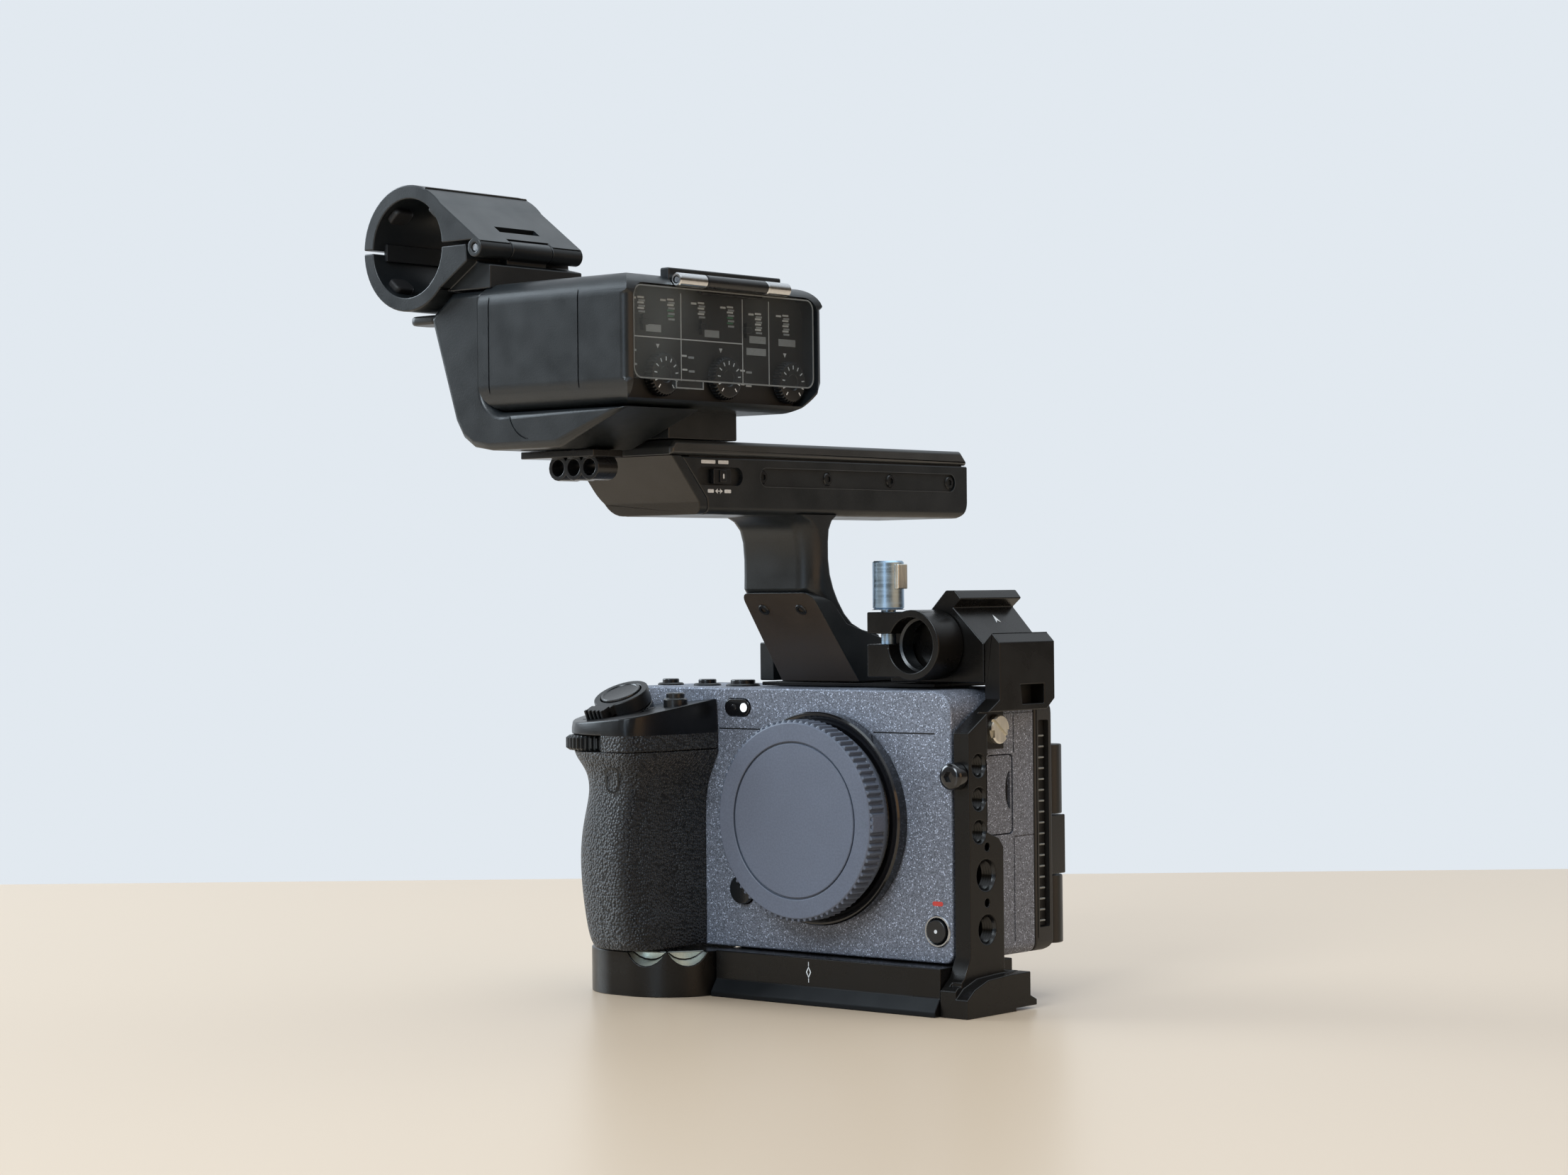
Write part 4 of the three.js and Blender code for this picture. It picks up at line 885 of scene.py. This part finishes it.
def cage_screws():
    low, high = box("side_screw")
    radius = (high.y - low.y) / 2
    spot = centre("side_screw", "x") + Vector((0, 0.9, 0))
    face = high.x - 1.6
    profile = [(0, face), (radius - 0.4, face), (radius, face - 0.4), (radius, low.x - 0.4), (0, low.x - 0.4)]
    head = turned(profile, spot, PORT, 64)
    turn = Matrix.Rotation(0.9, 4, "X")
    slit = lean(block(face - 0.9, face + 1, -0.5, 0.5, -6, 6), Matrix.Translation(spot) @ turn)
    nicks = [
        block(face - 1, face + 1, spot.y + y, spot.y + y + 1.5, spot.z - 2.4, spot.z - 0.2) for y in (-4.6, 3.1)
    ]
    dress("side_screw", carve(carve(head, slit), *nicks), TAN)

    low, high = box("front_screw")
    radius = (high.x - low.x) / 2
    spot = centre("front_screw", "y") - Vector((1.4, 0, 0))
    low = low - Vector((0, 1.2, 0))
    dome = [
        (0, -low.y), (radius - 1.3, -low.y - 0.05), (radius - 0.6, -low.y - 0.35),
        (radius - 0.12, -low.y - 0.9), (radius, -low.y - 1.4), (radius, -high.y), (0, -high.y),
    ]
    head = turned(dome, spot, FORWARD, 64)
    socket = prism([(spot[0] + x, spot[2] + z) for x, z in arc(0, 0, 1.7, 0, 300, 5)], low.y - 1, low.y + 1.2, "y")
    dress("front_screw", carve(head, socket), GLOSS)

    spot = centre("clamp_screw", "z") - Vector((0.4, 0, 0))
    seat = box("rod_clamp")[1].z
    low, high = box("clamp_screw")
    radius, peak = (high.x - low.x) / 2 + 0.4, high.z + 0.6
    barrel = [(0, peak - 0.5), (2.6, peak - 0.5), (2.9, peak), (radius - 0.5, peak), (radius, peak - 0.5)]
    barrel += [(radius, seat + 0.7), (radius - 0.4, seat + 0.3), (2.2, seat + 0.3), (2.2, low.z), (0, low.z)]
    dress("clamp_screw", turned(barrel, spot, UP, 64), BLUED)
    keep("clamp_lever", TAN, 0.3)
    washer = [(2, seat), (2, seat + 0.28), (4.5, seat + 0.28), (4.9, seat + 0.05), (4.9, seat)]
    trim("clamp_washer", turned(washer, spot, UP, 48), STEEL, "steel")


# ---- handle ------------------------------------------------------------------------------------------
NECK = (  # (z, front y, rear y) of the handle's neck, from the foot up to the bar
    (100, 11, 30),
    (107.4, 5.6, 26),
    (109, 4.4, 18),
    (110.9, 2.9, 13.4),
    (113.8, 0.6, 9.9),
    (117.4, -2.4, 7.1),
    (119.6, -5.2, 5.8),
    (121.4, -6.6, 4.8),
    (125.4, -6.5, 3.3),
    (130, -6.5, 2.6),
    (135, -7.0, 2.6),
    (138.6, -8.3, 3.0),
    (141.2, -11, 4.4),
    (142.9, -15.2, 7.0),
)


def handle():
    """A bar with a slanted nose, a neck with rounded edges and a foot with a flat slanted front plate."""
    low, high = box("handle_frame")
    left, right, rear = low.x, high.x, high.y
    seam = box("handle_top_cover")[0].z
    bottom = 142.5  # of the bar
    bar_end = [(left + 5.2, bottom), *arc(right - 2.2, bottom + 2.2, 2.2, -90, 0, 6), (right, seam - GAP)]
    bar_end += [(left, seam - GAP), (left, bottom + 5.5), (left + 0.8, bottom + 3.9)]
    side = [(-51.2, bottom), *arc(rear - 5, bottom + 5, 5, -90, 0, 8)]
    side += [(rear, seam - GAP), (-62.2, seam - GAP), (-51.7, 147)]
    bar = common(prism(bar_end, -70, rear + 1, "y"), prism(side, left - 1, right + 1, "x"))
    bar = soften(bar, 0.5, 3)

    neck = lofted(*[(z, cornered(-25.4, right, front, back, (6, 1.6, 1.6, 2.4))) for z, front, back in NECK])
    foot_side = [(-7, 120.6), (15.2, 93.5), (62, 93.5), (60, 99), (26, 106.6), (10, 111), (2, 119), (-2, 120.6)]
    plate = [(-28.3, 93.4), (2, 93.4), *arc(right - 3, 117.2, 3, 0, 90, 6), *arc(-26 + 3, 117.2, 3, 90, 175, 6)]
    foot_front = prism(plate, -12, 63, "y")
    foot = soften(common(prism(foot_side, -30, 5, "x"), foot_front), 0.35, 3)
    step = soften(block(-39.4, left + 2, 18, 58, 93.5, 105), 0.4, 3)
    slot = pill(-28.9, 63.8, 150.5, 156.2)
    slots = [
        prism(slot, right - 0.6, right + 1, "x"),
        prism(slot, left - 1, left + 0.6, "x"),
        prism(pill(-56, -36.4, 150.7, 155.9), right - 1.4, right + 1, "x"),
    ]
    bar_skin = dress("handle_frame", merged(carve(bar, *slots), neck, foot, step), HANDLE)
    # the foot's down- and forward-facing faces get a painted warm reflection of the table
    repaint(bar_skin, FOOT_WARM_REFLECTION, lambda face, at: face.normal.z < -0.4 and face.normal.y < -0.6 and at.z < 118)
    # a thin pale ring round the side slot: painted highlight on its edge
    rim = prism(slot, right - 0.05, right + 0.05, "x")
    trim("handle_slot_rim", carve(rim, prism(pill(-28.7, 63.6, 150.7, 156.0), right - 1, right + 1, "x")), RIM_HIGHLIGHT)
    trim("handle_seam", block(left + 1.2, right - 1.2, -58, rear - 1.5, seam - 0.8, seam + 0.6), BLACK)
    # the top cover wears the lighter, lit copy of the handle paint
    keep("handle_top_cover", HANDLE_TOP_LIT, 0.35)

    low, high = box("handle_front_cover")
    top = seam - 0.05
    slant = [(low.y, top), (-55.3, 146.1), (-54.6, bottom), (-51.5, bottom), (-52, 147), (-62.5, top)]
    face = cornered(left, right, bottom, seam + 3, (2.5, 0.01, 0.01, 7.5))
    nose = common(prism(slant, left - 1, right + 1, "x"), prism(face, low.y - 2, -45, "y"))
    nose_skin = dress("handle_front_cover", soften(nose, 0.3, 3), HANDLE)
    # the nose's front face gets a painted warm reflection
    repaint(nose_skin, NOSE_WARM_REFLECTION, lambda face, at: face.normal.y < -0.6)
    for i, y in enumerate((-27.1, 2.3, 32.0, 61.1), 1):
        cap_screw(f"handle_screw_port_{i}", (right - 0.6, y, 153.4), PORT, 2.0, 0.45)
        cap_screw(f"handle_screw_far_{i}", (left + 0.6, y, 153.4), STARBOARD, 2.0, 0.45)
    slope = Vector((0, -26.8, -21.8)).normalized()
    for i, x in enumerate((-19.9, -5.6), 1):
        cap_screw(f"foot_screw_{i}", (x, -2.6, 115.2), slope, 1.9, 0.4)


def handle_switch():
    outer = box("audio_switch")[1].x
    keep("audio_switch", SATIN, 0.15, 2)
    _, y, z = middle("audio_switch")
    grip_bar = soften(block(outer - 0.1, outer + 0.5, y - 1.3, y + 1.3, z - 1.7, z + 1.7), 0.2)
    place("audio_switch_grip", grip_bar, SATIN, "audio_switch", "black_plastic")
    dot = prism(pill(y - 0.3, y + 0.3, z - 0.7, z + 0.7), outer + 0.45, outer + 0.53, "x")
    place("audio_switch_dot", dot, WHITE_INK, "audio_switch", "black_plastic")
    face = box("handle_frame")[1].x
    bars = [(-54.2, -48.2, 157.3), (-47.0, -42.6, 157.3), (-51.5, -49.0, 149.1), (-44.4, -41.6, 149.1)]
    outlines = [rounded(y0, y1, height - 0.5, height + 0.5, 0.2, 2) for y0, y1, height in bars]
    for tip, turn in ((-48.4, 1), (-45.2, -1)):
        outlines.append([(tip, 149.1), (tip + turn * 1.1, 149.8), (tip + turn * 1.1, 148.4)])
    outlines.append(rounded(-47.6, -46.0, 148.95, 149.25, 0.14, 1))
    marks = [prism(outline, face - 0.05, face + 0.05, "x") for outline in outlines]
    trim("handle_marks", merged(*marks), WHITE_INK, "handle_metal")


# ---- audio unit --------------------------------------------------------------------------------------
BOX_LOW, BOX_HIGH = box("audio_box")


def audio_box():
    """The box has a large round lower front edge and a round port end, and is hollow behind its panel."""
    low, high = BOX_LOW, BOX_HIGH
    face = box("control_panel")[1].x  # the panel's outer face
    floor, roof = 171.2, 207
    across = cornered(low.x, high.x, floor, roof, (7, 6, 4, 7))
    side = [
        *arc(low.y + 7.5, floor + 7.5, 7.5, 180, 270, 12), (high.y - 10.5, floor), (high.y - 7, floor + 1.6),
        (high.y, floor + 8.6), *arc(high.y - 7, roof - 7, 7, 0, 90, 10),
        *arc(low.y + 6.5, roof - 6.5, 6.5, 90, 180, 12),
    ]
    whole = prism(side, low.x - 1, high.x + 1, "x")
    shell = common(prism(across, low.y - 1, high.y + 1, "y"), whole)
    soften(shell, 2.6, 6, chosen=lambda edge: min(v.co.x for v in edge.verts) > high.x - 0.1)
    panel_low, panel_high = box("control_panel")
    y0, y1 = panel_low.y - GAP, panel_high.y + GAP
    z0, z1 = panel_low.z - GAP, panel_high.z + GAP
    outline = [(y0, z0), (y1 - 5, z0), (y1, z0 + 5)]
    outline += [*arc(y1 - 5, z1 - 5, 5, 0, 90, 8), *arc(y0 + 5, z1 - 5, 5, 90, 180, 8)]
    room = prism(outline, low.x + 2.4, high.x + 1, "x")
    first, last = box("hinge_barrel_1"), box("hinge_barrel_2")
    notch = block(13.7, high.x + 1, first[0].y - GAP, last[1].y + GAP, roof - 4, roof + 1)
    grooves = [block(x, x + LINE, low.y - 1, low.y + LINE + 0.1, floor + 4, roof - 2.5) for x in (-36.4, -2.2)]
    shell = carve(carve(carve(shell, room), notch), *grooves)
    spacer = soften(block(-24, 0, -66, -37, 163.5, floor + 1), 0.4, 2)
    ridge = soften(block(10.4, 13.6, -80.5, -33, roof - 2.4, roof + 2.2), 0.5, 3)
    dress("audio_box", merged(shell, spacer, ridge), HANDLE)
    dress("control_panel", cad_shape("control_panel"), PANEL)
    control_marks(face)

    low, high = box("input_block")
    bend = [*arc(-21.8, 172, 9.0, 180, 262, 12), *arc(-21.8, 172, 9.0 - LINE, 262, 180, 12)]
    line = prism(bend, low.y - 1, low.y + LINE, "y")
    dress("input_block", carve(cad_shape("input_block", 0.6, 3), line), HANDLE)
    keep("cable_clip", SATIN, 0.25, 2)
    for i in (1, 2):
        input_socket(i)


def input_socket(i):
    """A round three-hole audio socket with a latch tab."""
    node = f"input_socket_{i}"
    keep(node, BLACK, 0.35)
    low, high = box(node)
    outward = Vector((-math.cos(0.31), 0, -math.sin(0.31)))
    mouth = (low + high) / 2 - outward * 1.2
    seat = turned(disc(7.3, -2.4, 0), (0, 0, 0), UP, 48)
    holes = [
        turned(disc(1.5, -2, 1), (3.3 * math.cos(a), 3.3 * math.sin(a), 0), UP, 24)
        for a in (0, 2.1, 4.2)
    ]
    insert = lean(carve(seat, *holes), facing(mouth, outward))
    trim(f"input_socket_insert_{i}", insert, SATIN)


def control_marks(face):
    """Dividers, switch scales and blank labels printed on the control panel. No lettering."""
    low, high = box("control_panel")
    thin = 0.28  # width of the dividers

    def bar(y0, y1, z0, z1):
        return prism([(y0, z0), (y1, z0), (y1, z1), (y0, z1)], face - 0.05, face + 0.06, "x")

    white = [bar(y, y + thin, low.z + 5.2, high.z - 1.2) for y in (-72.2, -46.4, -35.0)]
    white.append(bar(low.y + 1, -46.4, 190.0, 190.0 + thin))
    labels, green = [], []
    scales = [(-92.4, 200.2), (-80.4, 200.2), (-67.8, 200.0), (-55.6, 199.6), (-43.6, 198.4), (-31.6, 198.6)]
    for k, (y, z) in enumerate(scales):
        white.append(bar(y, y + 2.2, z, z + 0.55))
        for row in range(3 if k in (0, 2) else 4):  # clear of the toggles' travel
            ink = green if k in (1, 3) and row > 1 else white
            ink.append(bar(y + 2.8, y + 5.4, z - 1.5 * row + 0.3, z - 1.5 * row + 0.8))
            labels.append(bar(y + 3.2, y + 5.8, z - 1.5 * row - 0.6, z - 1.5 * row - 0.05))
    names = ((-86.3, 191.6, 6.1), (-62.3, 191.3, 6.1), (-43.3, 190.6, 7.1), (-44.6, 187.2, 8.4))
    for y, z, width in (*names, (-30.6, 190.4, 7.4)):
        labels.append(bar(y, y + width, z, z + 2.0))
    for y, z in ((-95.0, 182.6), (-95.2, 186.4), (-71.6, 181.6), (-71.8, 185.4), (-47.6, 178.6), (-47.4, 182.4)):
        white.append(bar(y, y + 2.0, z, z + 0.5))
        labels.append(bar(y + 2.6, y + 5.0, z - 0.4, z + 0.2))
    for i in (1, 2, 3):
        _, y, z = middle(f"audio_dial_{i}")
        white.append(prism([(y - 0.7, z + 8.4), (y + 0.7, z + 8.4), (y, z + 7.2)], face - 0.05, face + 0.06, "x"))
    trim("panel_marks", merged(*white), WHITE_INK)
    trim("panel_labels", merged(*labels), GREY_INK)
    trim("panel_green_marks", merged(*green), GREEN_INK)


def panel_controls():
    for i in (1, 2, 3):
        node = f"audio_dial_{i}"
        low, high = box(node)
        radius = (high.z - low.z) / 2
        base = high.x - 2.8
        knob = [
            (0, base - 3), (1.4, base - 3), (1.4, base), (radius - 0.3, base), (radius, base + 0.3, 0.5),
            (radius, high.x - 0.7, 0.5), (radius - 0.6, high.x - 0.15), (radius - 1.0, high.x),
            (2.4, high.x), (2.1, high.x - 0.3), (0, high.x - 0.35),
        ]
        spot = centre(node, "x")
        dress(node, turned(knob, spot, PORT, teeth=34), BLACK)
        ticks = []
        for k in range(11):
            stroke = block(high.x - 0.05, high.x + 0.05, -0.16, 0.16, radius - 2.3, radius - 1.2)
            turn = Matrix.Rotation(math.radians(-140 + 28 * k), 4, "X")
            ticks.append(lean(stroke, Matrix.Translation(spot) @ turn))
        place(f"{node}_ticks", merged(*ticks), WHITE_INK, node, "black_plastic")
        toggle = f"audio_toggle_{i}"
        keep(toggle, SATIN, 0.15, 2)


def audio_cover():
    low, high = box("audio_cover")
    x, _, z = pivot("audio_cover_swing")
    inner = low.x
    outer = inner + 1.6
    sheet = prism(rounded(low.y, high.y, low.z + 2.2, z - 2.1, 3, 8), inner, outer, "x")
    first, last = box("hinge_barrel_1"), box("hinge_barrel_2")
    tab = block(inner, outer, first[0].y, first[1].y, low.z, low.z + 2.5)
    dress("audio_cover", soften(carve(sheet, tab, operation="UNION"), 0.2, 3), CLEAR)
    # thin pale bands round the sheet's rim and its tab: painted highlight on the clear edges
    rim = prism(rounded(low.y, high.y, low.z + 2.2, z - 2.1, 3, 8), outer - 0.05, outer + 0.08, "x")
    inside = prism(rounded(low.y + 0.4, high.y - 0.4, low.z + 2.6, z - 2.5, 2.7, 8), outer - 1, outer + 1, "x")
    place("audio_cover_edge_highlight", carve(rim, inside), EDGE_HIGHLIGHT, "audio_cover", "clear_cover")
    lip = block(outer - 0.05, outer + 0.08, first[0].y, first[1].y, low.z, low.z + 2.3)
    gap = block(outer - 1, outer + 1, first[0].y + 0.4, first[1].y - 0.4, low.z + 0.4, low.z + 3)
    place("audio_cover_tab_edge_highlight", carve(lip, gap), EDGE_HIGHLIGHT, "audio_cover", "clear_cover")
    y0, y1 = first[1].y + 0.3, last[0].y - 0.3
    knuckle = [(0, y0), (1.6, y0), (1.9, y0 + 0.3), (1.9, y1 - 0.3), (1.6, y1), (0, y1)]
    knuckle = turned(knuckle, (x, 0, z), REARWARD, 40)
    strap = soften(block(inner, outer, y0, y1, z - 3.1, z), 0.2)
    place("audio_cover_hinge", merged(knuckle, strap), SATIN, "audio_cover", "black_plastic")
    for i in (1, 2):
        start, end = box(f"hinge_barrel_{i}")[0].y, box(f"hinge_barrel_{i}")[1].y
        sleeve = [(1.1, start), (1.6, start), (1.9, start + 0.35), (1.9, end - 0.35), (1.6, end), (1.1, end)]
        dress(f"hinge_barrel_{i}", turned(sleeve, (x, 0, z), REARWARD, 48), CHROME)
    pin = turned(disc(0.8, low.y + 17, high.y - 13), (x, 0, z), REARWARD, 20)
    place("audio_cover_pin", pin, STEEL, "audio_cover", "steel")


# ---- microphone clamp --------------------------------------------------------------------------------
def mic_clamp():
    x, _, z = pivot("mic_clamp_swing")
    bore_x, bore_z = box("mic_clamp_top")[0].x + 17.9, 218.7
    flat = Matrix.Translation((x + 2.2, 0, z + 1.8)) @ Matrix.Rotation(math.radians(36.6), 4, "Y")
    slot = lean(block(-8.9, -6.0, -89.3, -73.3, -1.5, 2), flat)
    dress("mic_clamp_top", carve(cad_shape("mic_clamp_top", 0.4, 3), slot), HANDLE)
    keep("mic_clamp_base", HANDLE, 0.4)
    for name, body, angles in (("upper", "mic_clamp_top", (50, 130)), ("lower", "rig", (230, 310))):
        for i, angle in enumerate(angles, 1):
            for j, y in enumerate((-96.5, -67.5), 1):
                pad = soften(prism(rounded(-2.6, 2.6, -3.4, 3.4, 1.5), 11.9, 14.2), 0.7, 3)
                turn = Matrix.Rotation(math.radians(90 - angle), 4, "Y")
                pad = lean(pad, Matrix.Translation((bore_x, y, bore_z)) @ turn)
                place(f"mic_pad_{name}_{i}_{j}", pad, SOFT, body, "grip_rubber")
    tongue = soften(block(-80.9, -79.4, -97.5, -62.5, 216.2, 221.2), 0.3, 2)
    trim("mic_clamp_tongue", tongue, BLACK)
    catch = soften(prism(rounded(-71.5, -58.4, -97.5, -87.5, 3.4), 197.2, 199.8), 0.9, 3)
    trim("mic_clamp_catch", catch, BLACK)


# ---- inside ------------------------------------------------------------------------------------------
def inner_parts():
    """Carried-over CAD nodes that other pieces hide at rest."""
    for node, look in (
        ("image_sensor", SCREEN),
        ("sensor_carrier", STEEL),
        ("main_board", GREEN),
        ("battery", BLACK),
        ("memory_card", SATIN),
        ("mic_clamp_pin", STEEL),
    ):
        data = frame["nodes"][node].data
        data.materials.clear()
        data.materials.append(look)


# ---- surroundings ------------------------------------------------------------------------------------
def camera():
    """The viewpoint: in front and to port, a little above the body's middle."""
    heading, pitch, roll = (math.radians(a) for a in (40.15, 0.02, -0.57))
    ahead = Vector((-math.sin(heading) * math.cos(pitch), math.cos(heading) * math.cos(pitch), math.sin(pitch)))
    right = Vector((math.cos(heading), math.sin(heading), 0))
    up = right.cross(ahead)
    across = math.cos(roll) * right + math.sin(roll) * up
    upward = -math.sin(roll) * right + math.cos(roll) * up
    data = bpy.data.cameras.new("camera")
    data.sensor_width = 36
    data.lens = 74.5
    data.clip_start = 0.02
    obj = new_object("camera", data)
    turn = Matrix((across, upward, -ahead)).transposed().to_4x4()
    obj.matrix_world = Matrix.Translation(Vector((606.1, -735.4, 121.4)) * MM) @ turn
    bpy.context.scene.camera = obj
    return ahead


def room(ahead):
    """A pale wall behind the object and a pale ceiling. The rest of the room is dimmer, darkest to port."""
    world = bpy.data.worlds.new("room")
    bpy.context.scene.world = world
    n = Nodes(world, "Generated")

    def toward(direction, start, full):
        dot = n.add("ShaderNodeVectorMath", operation="DOT_PRODUCT")
        dot.inputs[1].default_value = direction
        n.link(n.place, dot.inputs[0])
        return n.scaled(dot.outputs["Value"], 0, 1, start, full, "SMOOTHSTEP")

    pale = (0.76, 0.815, 0.87)
    dim = n.blend(toward(PORT, -0.3, 0.75), (0.22, 0.215, 0.21), (0.076, 0.062, 0.046))
    walled = n.blend(toward(ahead, 0.2, 0.85), dim, pale)
    n.fill(n.tree.nodes["Background"].inputs["Color"], n.blend(toward(UP, 0.2, 0.8), walled, pale))


def floor(ahead):
    """A pale satin table, whose far edge shows behind the object."""
    width, depth, behind = 4.0, 3.0, 0.415
    w, h = width / 2, depth / 2
    mesh = bpy.data.meshes.new("floor")
    mesh.from_pydata([(-w, -h, 0), (w, -h, 0), (w, h, 0), (-w, h, 0)], [], [(0, 1, 2, 3)])
    table = new_material("table")
    table.surface((0.6, 0.47, 0.345), 0.34)
    mesh.materials.append(table.owner)
    obj = new_object("floor", mesh)
    centre = Vector((ahead.x, ahead.y, 0)).normalized() * (behind - h)
    obj.matrix_world = Matrix.Translation(centre) @ Matrix.Rotation(math.atan2(-ahead.x, ahead.y), 4, "Z")


def lights():
    """Large soft lights, all turned to the object's middle. Each has its place, power, width, height and color."""
    for name, spot, power, width, height, color in (
        ("window", (-1.45, -0.45, 0.75), 22, 0.9, 0.9, (0.78, 0.9, 1.0)),
        ("front", (0.16, -1.35, 0.95), 13.5, 0.6, 0.6, (0.82, 0.92, 1.0)),
        ("strip", (0.32, -1.5, 0.3), 1.7, 0.35, 0.8, (0.55, 0.76, 1.0)),
        ("warm_side", (1.6, 0.1, 0.4), 4, 1.6, 0.7, (1.0, 0.62, 0.33)),
        ("overhead", (0.1, 0.3, 1.3), 5.5, 1.2, 1.0, (0.8, 0.93, 1.0)),
    ):
        data = bpy.data.lights.new(name, "AREA")
        data.shape = "RECTANGLE"
        data.size, data.size_y = width, height
        data.energy = power
        data.color = color
        obj = new_object(name, data)
        obj.location = spot
        obj.rotation_mode = "QUATERNION"
        obj.rotation_quaternion = (Vector((0, 0, 0.11)) - Vector(spot)).to_track_quat("-Z", "Y")


view_ahead = camera()
front_shell()
rear_shell()
doors()
tally_lamp()
lens_mount()
body_cap()
body_buttons()
back_controls()
monitor()
grip()
wheels()
cage()
cage_screws()
handle()
handle_switch()
audio_box()
panel_controls()
audio_cover()
mic_clamp()
inner_parts()
floor(view_ahead)
bpy.context.scene.view_settings.view_transform = "Standard"
room(view_ahead)
lights()
